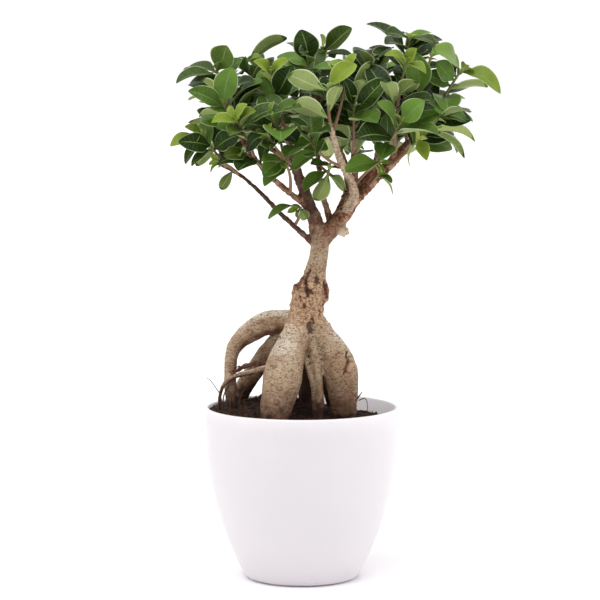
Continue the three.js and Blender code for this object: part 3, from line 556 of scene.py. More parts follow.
soilSize = {
    "level": 117, "slope": 0.05, "ripple": 1.1, "clearance": 0.4, "sides": 180, "levels": 12, "rings": 54,
    "mound": {"x": -18, "y": 14, "height": 13, "halfWidth": 38, "halfDepth": 24},
    "crumble": [(0.7, 7, 0), (0.6, 3.2, 9), (0.35, 1.6, 4)],  # share, size of its lumps, shift
    "crumbleHeight": 1.3,
}
looseSize = {
    "fromWall": 2.5,
    "crumbs": 1150, "crumbSize": (0.5, 1.7), "crumbSquash": (0.6, 1.2), "crumbUneven": 0.35, "crumbSunk": 0.2,
    "chips": 46, "chipLength": (2.2, 5.5), "chipWidth": (0.7, 1.6), "chipThick": 0.45, "chipUneven": 0.15,
    "chipBevel": 0.35, "chipSunk": 0.1,
    "fibres": 130, "fibreLength": (5, 15), "fibreRadius": 0.22, "fibreCurl": 1.6, "fibreSunk": 0.3,
    "fibreLift": 0.5, "fibreBow": 1.4, "fibreFromWall": 1.5,
}


def soilHeight(x, y):
    size, heap = soilSize, soilSize["mound"]
    far = ((x - heap["x"]) / heap["halfWidth"]) ** 2 + ((y - heap["y"]) / heap["halfDepth"]) ** 2
    ripple = size["ripple"] * math.sin(x * 0.21 + 1) * math.cos(y * 0.17 - x * 0.05)  # as in the part
    return size["level"] - size["slope"] * x + heap["height"] * math.exp(-far) + ripple


def crumble(x, y):  # the fine lumps of the soil's surface
    lumps = [share * rough((x, y, 0), lump, shift) for share, lump, shift in soilSize["crumble"]]
    return soilSize["crumbleHeight"] * sum(lumps)


def placeOnSoil(random, depth):  # a random point on the soil, sunk by depth
    reach = potRadius(soilSize["level"]) - potSize["wall"] - looseSize["fromWall"]
    far = reach * math.sqrt(random.random())
    turn = random.random() * 2 * math.pi
    x, y = far * math.cos(turn), far * math.sin(turn)
    return np.array([x, y, soilHeight(x, y) + crumble(x, y) - depth])


def turnedAnyWay(random):
    axis = unit(random.normal(size=3))
    angle = random.random() * math.pi
    x, y, z = axis
    cross = np.array([[0, -z, y], [z, 0, -x], [-y, x, 0]])
    return np.eye(3) + math.sin(angle) * cross + (1 - math.cos(angle)) * cross @ cross


def makeSoil():
    size = soilSize
    radiusAt = lambda z: potRadius(z) - potSize["wall"] - size["clearance"]
    low = potSize["floor"] + 0.3  # just off the pot's floor
    profile = [(radiusAt(z), z) for z in np.linspace(low, size["level"], size["levels"])]
    edge = radiusAt(size["level"])
    profile += [(edge * share, size["level"]) for share in np.linspace(1, 0.01, size["rings"])[1:]]
    soil = turnSolid("peat", profile, size["sides"])
    points = pointsOf(soil)
    for point in points:
        if point[2] > size["level"] - 1:
            point[2] = soilHeight(point[0], point[1]) + crumble(point[0], point[1])
    movePoints(soil, points)
    bpy.ops.object.shade_smooth()
    peat = blackPeat()
    soil.data.materials.append(peat)
    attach(soil, "root")
    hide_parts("soil")

    random = np.random.default_rng(5)
    pieces = [makeCrumbs(random, peat), makeChips(random), makeFibres(random)]
    for piece in pieces:
        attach(piece, "root")
    print("soil made, with loose crumbs, chips and fibres")


def makeCrumbs(random, peat):
    size = looseSize
    deselectAll()
    bpy.ops.mesh.primitive_ico_sphere_add(subdivisions=1, radius=mm)
    crumb = bpy.context.object
    ball = pointsOf(crumb)
    crumbs = []
    for _ in range(size["crumbs"]):
        across = between(*size["crumbSize"], random.random() ** 2)
        lump = ball * (1 + size["crumbUneven"] * random.normal(size=(len(ball), 1))) * across
        lump = (lump * between(*size["crumbSquash"], random.random(3))) @ turnedAnyWay(random).T
        crumbs.append(copyOf(crumb, lump + placeOnSoil(random, size["crumbSunk"] * across)))
    bpy.data.objects.remove(crumb)
    crumbs = joined(crumbs, "peat_crumbs")
    crumbs.data.materials.append(peat)
    return crumbs


def makeChips(random):
    size = looseSize
    deselectAll()
    bpy.ops.mesh.primitive_cube_add(size=2 * mm)
    chip = bpy.context.object
    applyModifier(chip, "BEVEL", width=size["chipBevel"] * mm, segments=1)
    block = pointsOf(chip)
    chips = []
    for _ in range(size["chips"]):
        long = between(*size["chipLength"], random.random())
        wide = between(*size["chipWidth"], random.random())
        shape = block * (long, wide, size["chipThick"]) / 2
        shape = shape * (1 + size["chipUneven"] * random.normal(size=(len(block), 1)))
        chips.append(copyOf(chip, shape @ turnedAnyWay(random).T + placeOnSoil(random, size["chipSunk"])))
    bpy.data.objects.remove(chip)
    chips = joined(chips, "bark_chips")
    chips.data.materials.append(agedBarkChip())
    return chips


def makeFibres(random):
    size = looseSize
    reach = potRadius(soilSize["level"]) - potSize["wall"] - size["fibreFromWall"]
    strands = []
    for n in range(size["fibres"]):
        start = placeOnSoil(random, size["fibreSunk"])
        heading = random.random() * 2 * math.pi
        length = between(*size["fibreLength"], random.random())
        path = []
        for share in np.linspace(0, 1, 6):
            turn = heading + size["fibreCurl"] * share * rough((n, share, 0), 1)
            x = start[0] + length * share * math.cos(turn)
            y = start[1] + length * share * math.sin(turn)
            if math.hypot(x, y) > reach:
                break
            lift = size["fibreLift"] + size["fibreBow"] * math.sin(math.pi * share) * random.random()
            path.append([x, y, soilHeight(x, y) + crumble(x, y) + lift, size["fibreRadius"]])
        if len(path) > 2:
            strands.append(tube(path, 4))
    fibres = joined(strands, "peat_fibres")
    fibres.data.materials.append(rootFibre())
    return fibres


# roots, trunk and boughs, as paths of x, y, z and radius


roots = {
    "trunk": [
        [1, -2, 165, 9.5], [2, -2, 175, 12], [2, -1, 185, 12.6], [4, 0, 197, 12.2], [6, 0, 207, 11.6],
        [9, 0, 216, 9.6], [10, 0, 224, 7.6], [12, 0, 233, 7], [13, 0, 242, 6.7], [14, 0, 250, 7.2],
        [15, 0, 256, 5.5],
    ],
    "carrot": [
        [2, -3, 191, 9], [-3, -9, 180, 10.5], [-8, -16, 169, 11.6], [-12, -22, 159, 13.8],
        [-14, -26, 148, 14.3], [-16, -29, 138, 13], [-18.5, -31, 127, 11.6], [-20, -32, 115, 9.8],
        [-22, -31, 98, 4.5],
    ],
    "shoulder": [
        [8, -1, 188, 8.6], [16.2, -5, 175.6, 9.2], [22.4, -8, 166.6, 10.9], [25.7, -8, 159, 12.4],
        [28, -9, 151, 12.6], [29.2, -9, 143, 12], [30, -9, 134, 11], [30.4, -8, 122, 9.4],
        [30.6, -6, 105, 4.5],
    ],
    "arch": [
        [-3, 2, 186, 8.5], [-14, 5, 187, 8.4], [-26, 6, 184.7, 9.1], [-36.2, 7, 179.5, 8.1],
        [-44.8, 7, 172.8, 6.5], [-50.4, 6, 164, 4.9], [-52, 5, 152, 4.5], [-52, 5, 141, 4.6],
        [-51, 5, 127, 4.2], [-49, 5, 109, 2.5],
    ],
    "diagonal": [
        [-8, 8, 181, 8], [-17, 12, 172, 7.2], [-26, 16, 161, 6.9], [-35, 19, 148, 6.8],
        [-42, 21, 137, 6.5], [-46, 22, 126, 5.6], [-49, 22, 110, 3.2],
    ],
    "straight": [
        [6, -5, 178, 4.5], [8.6, -10, 167, 4.1], [10.4, -13, 156, 3.7], [12, -14, 144, 3.3],
        [13, -15, 131, 3.2], [13.6, -15, 113, 2.2],
    ],
    "thin": [
        [1, -7, 168, 2.4], [2.6, -12, 160, 1.9], [4.6, -14, 153, 1.7], [6.6, -15, 146, 1.6],
        [8, -15, 138, 1.6], [8.8, -15, 128, 1.7], [9, -14, 113, 1.2],
    ],
    "hidden": [
        [3, 4, 182, 8], [4, 11, 168, 8.4], [4, 16, 154, 8], [4, 19, 138, 7], [3, 20, 122, 5.6],
        [3, 20, 104, 3],
    ],
    "rearRight": [
        [6, 6, 186, 9], [12, 14, 174, 9.6], [17, 21, 160, 10.4], [20, 26, 146, 9.8], [23, 29, 132, 7.6],
        [25, 31, 117, 5.2], [26, 32, 100, 2.8],
    ],
    "rearLeft": [
        [-2, 7, 180, 7.5], [-7, 18, 168, 7.6], [-11, 28, 154, 7.4], [-14, 35, 138, 6],
        [-16, 39, 122, 4.4], [-17, 41, 106, 2.6],
    ],
    "runner": [
        [-20, -18, 155, 3], [-27, -12, 154, 2.6], [-35, -6, 151, 2.3], [-42, -2, 149, 2.1],
        [-49, -1, 147, 1.9], [-54, -2, 144, 1.7], [-58, -3, 138, 1.5], [-60, -3, 128, 1.4],
        [-60, -3, 114, 1.2],
    ],
}
boughs = {
    "left": [
        [13, 0, 246, 6.4], [10, -2, 259, 5.6], [5.4, -4, 271, 4.8], [1.6, -6, 282, 4.3],
        [-2.6, -8, 293, 3.8], [-6, -9, 304, 3.2], [-8.6, -10, 315, 2.6], [-11, -10, 327, 2],
    ],
    "leftMid": [
        [6, -4, 269, 2.8], [-3, -8, 276, 2.3], [-14, -12, 285, 2.2], [-24, -14, 294, 2.2],
        [-34, -16, 306, 2], [-43, -18, 319, 1.7],
    ],
    "leftLow": [
        [9, 0, 243, 2.5], [-3, -2, 254, 2], [-15, -4, 265, 1.8], [-27.6, -6, 278.4, 1.7],
        [-40, -8, 290, 1.5], [-51, -9, 297, 1.4], [-61, -10, 302, 1.2],
    ],
    "right": [
        [15, 0, 247, 6.4], [24.4, 0, 257.4, 6], [32, 0, 266.6, 5.3], [39.6, 2, 276.4, 4.3],
        [48.6, 4, 285.5, 3.9], [59, 6, 296, 4], [69, 8, 306, 3.6], [77, 10, 315, 3], [84, 12, 322, 2.3],
    ],
    "stub": [[25, 0, 259, 4.5], [29, -3, 253, 4]],
    "front": [
        [33, -3, 269, 4], [37.6, -9, 279, 3.4], [33.6, -18, 292, 3], [27, -26, 305, 2.5],
        [23, -33, 318, 2.3], [20, -38, 328, 1.9],
    ],
    "middle": [[35, 0, 271, 3.4], [38, -4, 287, 2.5], [38, -11, 302, 2.2], [37, -16, 314, 1.8]],
    "rise": [[46, 3, 282, 3], [51, 0, 295, 2.4], [54, -3, 307, 2.1], [55, -6, 320, 1.7]],
    "rightUp": [[62, 6, 298, 3], [66, -3, 308, 2.4], [67, -10, 318, 1.8]],
    "top": [[21, 2, 258, 2.9], [15, 8, 280, 2], [12, 9, 303, 1.9], [12.6, 6, 326, 1.9], [12, 2, 342, 1.7]],
    "backLeft": [
        [14, 3, 250, 4.8], [9, 14, 263, 4], [2, 27, 279, 3.2], [-6, 38, 297, 2.6], [-27, 46, 314, 2],
    ],
    "backRight": [
        [17, 3, 250, 4.8], [28, 16, 265, 4], [42, 29, 282, 3.3], [55, 39, 299, 2.7], [64, 46, 316, 2],
    ],
    "backMid": [[15, 4, 250, 4.4], [28, 14, 266, 3.6], [34, 29, 288, 2.8], [26, 41, 317, 2]],
}
knobs = [  # x, y, z, then the radius along each
    [-1.5, -3, 207, 6, 6, 8.5], [15, -2, 208, 5, 5, 8.5], [7, -8, 204, 5, 5, 8],
    [30.2, -2.6, 252.2, 4.1, 4, 3.4],
]
# clefts, holes and cut marks on the front of the wood: from x, z to x, z, then radius, depth and kind
scars = [
    [5.6, 225, 1.8, 217, 1.1, 1.8, "scar"], [1.8, 217, 3.0, 211, 1.6, 2.2, "scar"],
    [3.0, 211, 4.2, 206.5, 1.3, 1.8, "scar"], [6.0, 210, 7.6, 209, 1.5, 1.6, "scar"],
    [10.7, 219, 11.2, 216.5, 2.0, 1.1, "scar"], [1.2, 200, 1.9, 198.8, 1.3, 1.8, "scar"],
    [-1.8, 206, -0.8, 203, 0.8, 0.9, "scar"], [5.4, 186.5, 6.6, 181.5, 2.1, 1.3, "scar"],
    [7.8, 190, 8.6, 187, 1.0, 0.9, "scar"], [-16.9, 179.4, -16.1, 177.6, 0.9, 0.9, "scar"],
    [32.7, 166.6, 32.0, 163.4, 1.0, 1.2, "scar"], [33.6, 162, 29.8, 151, 0.7, 0.7, "scar"],
    [16.2, 216, 17.6, 206, 0.9, 1.3, "scar"], [15.4, 200, 17.0, 196, 0.9, 1.0, "scar"],
    [-4.4, 213, -2.2, 219, 0.7, 0.8, "scar"], [12.4, 196, 13.2, 192.6, 0.8, 0.8, "scar"],
    [0.6, 222.5, -3.4, 213, 2.3, -0.7, "rust"], [17.2, 214, 18.0, 204, 1.7, -0.5, "rust"],
    [33.0, 160, 31.0, 153, 1.6, -0.2, "rust"], [-50, 158, -51, 146, 1.6, 0.0, "rust"],
]
woodLook = {
    "step": 1.6, "sides": 12, "voxel": 0.95, "soften": 3, "boughFrom": 240, "boughFull": 262,
    "swell": 0.5, "swellRadius": 8, "lump": 0.28, "graft": (178, 228), "graftEdge": 2.2, "graftRough": 1.4,
    "boughRough": 0.75, "boughRadius": 3, "runnerRough": 0.3, "stubRough": 1.2, "creaseGap": 3.4,
    "creaseDepth": 0.35, "creaseBelow": 200, "creaseShow": 0.75, "creaseWidth": 0.22, "creaseGain": 2.2,
    "creaseSoil": (150, 50), "creaseRadius": 5,  # creases deepen below a height, over a distance
    "soilStain": 10, "rootEndStain": 1.6, "hiddenShade": (175, 12), "paleFront": 0.12, "litFront": 0.5,
    "darkened": {"left": 0.72, "leftLow": 0.9, "leftMid": 0.3}, "frayedStub": (30, -4, 251),
    "stubReach": 5, "scarReach": 8, "scarEdge": (1.1, 41), "scarRagged": 0.75,
}
barkNoise = {  # size of the lumps in mm, and a shift that sets each apart from the rest
    "swell": (13, 0), "lump": (4.5, 7), "small": (2.4, 2), "graft": (3.4, 3), "graftFine": (1.9, 5),
    "graftEdge": (6, 51), "scales": (1.5, 8), "stub": (1.8, 15), "crease": (9, 11), "creased": (10, 21),
    "soil": (4, 31), "peat": (2, 13), "boughEdge": (5, 17), "darkening": (7, 61),
}
rootEnds = ("straight", "thin", "runner", "diagonal", "arch")  # roots that stay stained by the peat


def catmullRom(points, t):  # the part's own curve through its points
    points = np.asarray(points, float)
    at = (len(points) - 1) * t
    i = min(int(at), len(points) - 2)
    w = at - i
    a, b = points[i], points[i + 1]
    before = points[i - 1] if i > 0 else 2 * a - b
    after = points[i + 2] if i + 2 < len(points) else 2 * b - a
    leave, arrive = 0.5 * (b - before), 0.5 * (after - a)
    bend = -3 * a + 3 * b - 2 * leave - arrive
    return a + leave * w + bend * w**2 + (2 * a - 2 * b + leave + arrive) * w**3


def finePath(path, step):  # the curve through a path, in steps of about step mm
    centres = np.array(path)[:, :3]
    length = np.linalg.norm(np.diff(centres, axis=0), axis=1).sum()
    shares = np.linspace(0, 1, max(3, round(length / step)) + 1)
    radii = np.interp(shares * (len(path) - 1), range(len(path)), [p[3] for p in path])
    return [[*catmullRom(centres, t), radius] for t, radius in zip(shares, radii)]


def growWood(paths):  # every limb and knob in one closed skin
    limbs = [tube(path, woodLook["sides"]) for _, path in paths]
    for x, y, z, rx, ry, rz in knobs:
        deselectAll()
        bpy.ops.mesh.primitive_ico_sphere_add(subdivisions=3, radius=mm)
        knob = bpy.context.object
        movePoints(knob, pointsOf(knob) * (rx, ry, rz) + (x, y, z))
        limbs.append(knob)
    wood = joined(limbs, "roots_trunk_boughs_bark")
    applyModifier(wood, "REMESH", mode="VOXEL", voxel_size=woodLook["voxel"] * mm)
    applyModifier(wood, "SMOOTH", factor=0.5, iterations=woodLook["soften"])
    print("wood grown:", len(wood.data.vertices), "vertices")
    return wood


def nearestLimb(points, paths):  # each point's limb by number, how far along it is, and the radius there
    owner, along, centres, radii = [], [], [], []
    for n, (_, path) in enumerate(paths):
        path = np.array(path)
        steps = np.linalg.norm(np.diff(path[:, :3], axis=0), axis=1)
        owner += [n] * len(path)
        along += [0, *np.cumsum(steps)]
        centres.append(path[:, :3])
        radii.append(path[:, 3])
    centres, radii = np.concatenate(centres), np.concatenate(radii)
    nearest = np.empty(len(points), int)
    for first in range(0, len(points), 4000):  # in blocks, to save memory
        block = points[first:first + 4000, None, :] - centres[None]
        nearest[first:first + 4000] = (np.linalg.norm(block, axis=2) - radii).argmin(1)
    return np.array(owner)[nearest], np.array(along)[nearest], radii[nearest]


def scarShares(points, normals, row):  # how deep each vertex lies in a scar, from 0 to 1, its edge ragged
    x0, z0, x1, z1, radius = row[:5]
    start, along = np.array([x0, z0]), np.array([x1 - x0, z1 - z0])
    flat = points[:, (0, 2)] - start
    t = np.clip(flat @ along / (along @ along), 0, 1)
    far = np.linalg.norm(flat - t[:, None] * along, axis=1)
    close = np.flatnonzero((far < 2.2 * radius) & (normals[:, 1] < 0.25))  # and only on the front
    share = np.zeros(len(points))
    if not close.size:
        return share
    front = points[close, 1].min()
    for i in close:
        if points[i, 1] < front + woodLook["scarReach"]:
            ragged = far[i] + woodLook["scarRagged"] * radius * rough(points[i], *woodLook["scarEdge"])
            share[i] = min(1, max(0, 1.5 - ragged / radius))
    return share


def makeWood():
    look = woodLook
    paths = [(name, finePath(path, look["step"])) for name, path in {**roots, **boughs}.items()]
    wood = growWood(paths)
    points = pointsOf(wood)
    owner, along, radii = nearestLimb(points, paths)
    normals = np.empty(len(points) * 3, np.float32)
    wood.data.vertices.foreach_get("normal", normals)
    normals = normals.reshape(-1, 3)

    kinds = ("graft", "bough", "crease", "dirtAndShade", "scar", "rust")
    marks = {kind: np.zeros(len(points)) for kind in kinds}
    lift = np.zeros(len(points))
    (lowGraft, highGraft), boughFrom, boughFull = look["graft"], look["boughFrom"], look["boughFull"]
    (soilFrom, soilOver), (hiddenFrom, hiddenOver) = look["creaseSoil"], look["hiddenShade"]
    fromStub = np.linalg.norm(points - np.array(look["frayedStub"]), axis=1)
    rawAndLit = np.clip(1.3 - fromStub / look["stubReach"], 0, 1)
    for i, point in enumerate(points):
        x, y, z = point
        limb, radius = paths[owner[i]][0], radii[i]
        bump = {name: rough(point, *sizeAndShift) for name, sizeAndShift in barkNoise.items()}

        # relief: the swollen roots, the lumpy graft and the scaly boughs
        reach = 1 - abs(z - (lowGraft + highGraft) / 2) / (highGraft - lowGraft) * 2
        graft = min(1, max(0, look["graftEdge"] * reach + 0.5 * bump["graftEdge"]))
        if limb in boughs or limb == "arch":
            graft = 0
        lift[i] = look["swell"] * min(1, radius / look["swellRadius"]) * bump["swell"]
        lift[i] += look["lump"] * bump["lump"]
        lift[i] += look["graftRough"] * graft * (bump["graft"] + 0.6 * bump["graftFine"])
        if limb in boughs:
            scaly = bump["small"] + 0.5 * bump["scales"]
            lift[i] += look["boughRough"] * scaly * min(1, radius / look["boughRadius"])
        if limb == "runner":
            lift[i] += look["runnerRough"] * bump["small"]
        marks["graft"][i] = graft * (0.75 + 0.25 * bump["small"])

        # creases run round the swollen roots, closer and deeper towards the soil, and their grooves are
        # painted darker as painted shade
        ring = along[i] / look["creaseGap"] + 0.55 * bump["crease"] + owner[i] * 0.37
        creased = 0
        if z < look["creaseBelow"]:
            creased = max(0, bump["creased"] + 0.25 + (soilFrom - z) / soilOver)
            creased *= min(1, radius / look["creaseRadius"])
        groove = max(0, 1 - abs(ring - round(ring)) * 2 / look["creaseWidth"])
        groove *= min(1, creased * look["creaseGain"])
        marks["crease"][i] = look["creaseShow"] * groove
        lift[i] += look["stubRough"] * rawAndLit[i] * bump["stub"] - look["creaseDepth"] * groove

        # peat stains the feet of the roots and the runner, the shaded root behind is painted darker as
        # painted shade, and some boughs are darker
        darkening = look["soilStain"] * (look["rootEndStain"] if limb in rootEnds else 1)
        dirtAndShade = min(1, max(0, 1.1 - (z - soilHeight(x, y)) / darkening + 0.9 * bump["soil"]))
        if limb == "runner":
            dirtAndShade = max(dirtAndShade, 0.25 + 0.5 * bump["peat"])
        # painted light: the front bough is also painted paler, where the leaves above shade it
        if limb == "front":  # its bark is the palest of the boughs
            rawAndLit[i] = max(rawAndLit[i], look["litFront"] * (1 + 0.6 * bump["small"]))
        # painted shade: the root behind is painted darker below a height
        if limb == "hidden":
            dirtAndShade = max(dirtAndShade, min(1, (hiddenFrom - z) / hiddenOver))
        twiggy = 0.5 if limb in boughs and limb not in ("left", "right", "stub") else 0
        start = (z - boughFrom) / (boughFull - boughFrom) + 0.5 * bump["boughEdge"]
        bough = min(1, max(0, start + twiggy)) * (look["paleFront"] if limb == "front" else 1)
        marks["bough"][i] = bough
        # some boughs are darker by the share given for them
        marks["dirtAndShade"][i] = max(dirtAndShade, look["darkened"].get(limb, 0) * bough * (1 + 0.6 * bump["darkening"]))
    # clefts of the kind scar are cut in and painted dark, partly as painted shade
    for row in scars:
        depth, kind = row[5:]
        share = scarShares(points, normals, row)
        lift -= depth * share
        marks[kind] = np.maximum(marks[kind], share)
    movePoints(wood, points + normals * lift[:, None])
    marks["bough"] = np.maximum(marks["bough"], marks.pop("rust")) * (1 - 0.8 * rawAndLit)
    # how far the bark faces down, below 0 where it faces up: it steers the painted light on top and the
    # painted shade below
    marks["under"] = np.clip(0.15 - 1.1 * normals[:, 2], -1, 1)
    marks["rawAndLit"] = rawAndLit
    for kind, shares in marks.items():
        giveValue(wood, kind, shares)
    pickOnly(wood)
    bpy.ops.object.shade_smooth()
    wood.data.materials.append(figBark())
    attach(wood, "root")
    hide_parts("roots_trunk_boughs")
    print("bark shaped")


# fine roots, as paths of x, y, z and radius: dry dark threads round the arch's foot and the soil's edge
hairRoots = [
    [
        [-57, -3, 122, 0.4], [-58, -4, 129, 0.38], [-59.4, -3, 134.4, 0.36], [-63.6, -4, 141, 0.3],
        [-66.3, -4, 144.6, 0.28], [-69, -4, 146.2, 0.2],
    ],
    [
        [-49, 0, 146, 0.6], [-53.1, -2, 144.4, 0.6], [-57.5, -4, 139.5, 0.6], [-59.6, -5, 133, 0.5],
        [-60, -5, 122, 0.4],
    ],
    [[-52, 2, 141, 0.5], [-55.5, -2, 136, 0.5], [-57, -5, 130, 0.5], [-57, -6, 121, 0.4]],
    [[-47, -1, 140, 0.5], [-49.5, -4, 135, 0.5], [-52, -6, 128, 0.45], [-51, -8, 120, 0.4]],
    [[-38, 8, 140, 0.6], [-43, 4, 135, 0.6], [-45, 1, 129, 0.5], [-44, -1, 121, 0.4]],
    [[36, -14, 122, 0.5], [38.3, -13, 130, 0.6], [40.5, -12, 133, 0.6], [43.6, -11, 137, 0.3]],
    [[41, -13, 131, 0.4], [45, -12, 132.4, 0.4], [47, -12, 130, 0.3], [47.4, -12, 122, 0.2]],
]
hairLook = {"step": 1.5, "sides": 6}
# the strands of a peeled root that lie along the runner: middle line, then each strand's own ways
frayed = {
    "path": [
        [-21, -17, 158.6, 0.9], [-26, -13, 158.6, 1.0], [-34, -7, 156.8, 1.0], [-41, -3, 154.6, 0.9],
        [-46, -1, 152.2, 0.7], [-50, 1, 147, 0.5],
    ],
    "step": 1.2, "sides": 6, "strands": 9, "spread": 2.66, "wander": 3,
    "thickness": (0.6, 0.2, 0.25),  # shares of the middle line's: the least, by the strand, along it
    "tufts": 46, "tuftSides": 4, "tuftLength": (1, 3), "tuftRadii": (0.55, 0.2, 0.1), "tuftBow": 0.3,
    "tuftWay": (-0.7, -0.8, -0.2), "bareEnd": 3,
}


def peeledStrand(n, middle):  # wanders along the middle line
    thin, byStrand, byPlace = frayed["thickness"]
    path = []
    for place in middle:
        away = [rough(place[:3], frayed["wander"], 7 * n + shift) for shift in (0, 2, 4)]
        x, y, z = np.array(place[:3]) + frayed["spread"] * np.array(away)
        path.append([x, y, z, place[3] * (thin + byStrand * chance(n) + byPlace * away[0])])
    return tube(path, frayed["sides"])


def tuft(n, middle):  # a short pointed fibre that stands off the middle line
    start = np.array(middle[int(chance(n + 3) * (len(middle) - frayed["bareEnd"]))][:3])
    reach = between(*frayed["tuftLength"], chance(n + 5))
    heading = unit(np.array([chance(n + 7), chance(n + 9), chance(n + 11)]) + frayed["tuftWay"])
    bow = start + heading * reach * 0.5 + np.array([0, 0, frayed["tuftBow"]])
    ends = zip((start, bow, start + heading * reach), frayed["tuftRadii"])
    return tube([[*place, radius] for place, radius in ends], frayed["tuftSides"])


def makeHairRoots():
    strands = [tube(finePath(path, hairLook["step"]), hairLook["sides"]) for path in hairRoots]
    hair = joined(strands, "hair_roots")
    bpy.ops.object.shade_smooth()
    hair.data.materials.append(dryHairRoot())

    middle = finePath(frayed["path"], frayed["step"])
    strands = [peeledStrand(n, middle) for n in range(frayed["strands"])]
    strands += [tuft(n, middle) for n in range(frayed["tufts"])]
    peel = joined(strands, "frayed_root_bark")
    bpy.ops.object.shade_smooth()
    peel.data.materials.append(frayedRootBark())
    for piece in (hair, peel):
        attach(piece, "root")
    print("fine roots made:", len(hairRoots), "threads,", len(strands), "frayed strands")


# leafy stems: bough, where on it, tip, lean, leaves that fill in, leaf length, turn of the first leaf
sprays = [
    ["leftMid", 0.88, [-61, -6, 369], 0.4, 6, 33, 205],
    ["leftMid", 0.97, [-57, -28, 347], 0.5, 5, 31, 40],
    ["leftLow", 0.88, [-71, -18, 321], 0.6, 4, 29, 120],
    ["leftMid", 0.8, [-47, -46, 334], 0.7, 5, 28, 10],
    ["left", 0.99, [-40, 6, 375], 0.3, 6, 31, 300],
    ["left", 0.84, [-22, -48, 338], 0.7, 6, 33, 75],
    ["left", 0.92, [-22, -22, 366], 0.4, 6, 30, 150],
    ["left", 0.66, [-24, -54, 323], 0.7, 6, 29, 20],
    ["top", 0.9, [4, -10, 378], 0.3, 6, 32, 250],
    ["top", 0.99, [15, 10, 382], 0.2, 7, 34, 60],
    ["front", 0.9, [32, -36, 368], 0.5, 7, 31, 320],
    ["front", 0.98, [18, -48, 356], 0.15, 4, 34, 110],
    ["middle", 0.97, [37, -26, 346], 0.1, 4, 32, 200],
    ["rise", 0.96, [50, -12, 377], 0.4, 8, 32, 30],
    ["rightUp", 0.98, [74, -32, 374], 0.5, 7, 31, 90],
    ["right", 0.86, [78, 6, 391], 0.4, 6, 33, 10],
    ["rightUp", 0.8, [65, -36, 349], 0.1, 6, 32, 280],
    ["rise", 0.6, [70, -48, 333], 0.6, 6, 31, 170],
    ["right", 0.92, [92, -18, 378], 0.5, 8, 32, 130],
    ["right", 0.98, [114, -2, 368], 0.6, 5, 34, 350],
    ["right", 0.84, [99, -24, 336], 0.7, 5, 33, 45],
    ["right", 0.66, [84, -20, 320], 0.6, 3, 26, 240],
    ["middle", 0.3, [56, -16, 303], 0.8, 2, 27, 90],
    ["front", 0.5, [4, -50, 326], 0.6, 6, 30, 260],
    ["leftMid", 0.55, [-41, -36, 311], 0.8, 3, 27, 305],
    ["leftMid", 0.3, [-14, -34, 305], 0.8, 2, 27, 65],
    ["leftLow", 0.75, [-59, -18, 303], 0.9, 3, 25, 170],
    ["leftLow", 0.2, [-2, -10, 270], 0.6, 0, 24, 80],
    ["top", 0.3, [20, -12, 300], 0.4, 0, 24, 20],
    ["right", 0.48, [56, -4, 294], 0.5, 0, 23, 300],
    ["top", 0.7, [-6, 26, 358], 0.4, 7, 30, 35],
    ["leftLow", 1, [-64, 14, 332], 0.7, 7, 31, 260],
    ["backLeft", 0.95, [-62, 34, 354], 0.6, 8, 31, 140],
    ["backLeft", 0.98, [-32, 54, 370], 0.5, 8, 30, 20],
    ["backLeft", 0.75, [-58, 56, 328], 0.8, 7, 29, 230],
    ["backLeft", 0.85, [-24, 78, 336], 0.8, 7, 30, 310],
    ["backMid", 0.97, [4, 50, 378], 0.4, 7, 31, 85],
    ["backMid", 0.9, [14, 82, 343], 0.8, 8, 30, 200],
    ["backMid", 0.6, [-4, 62, 320], 0.8, 5, 28, 120],
    ["backRight", 0.98, [56, 50, 372], 0.5, 8, 31, 265],
    ["backRight", 0.88, [50, 78, 338], 0.8, 7, 30, 10],
    ["backRight", 0.92, [90, 42, 351], 0.7, 8, 32, 75],
    ["backRight", 0.7, [84, 56, 328], 0.8, 6, 29, 190],
    ["right", 0.8, [104, 24, 344], 0.8, 7, 31, 300],
    ["top", 0.85, [42, 30, 372], 0.4, 7, 32, 155],
    ["backRight", 0.5, [40, 54, 314], 0.8, 5, 28, 235],
]
firstFilling = 2  # where the filling leaves start on a stem that has seen ones
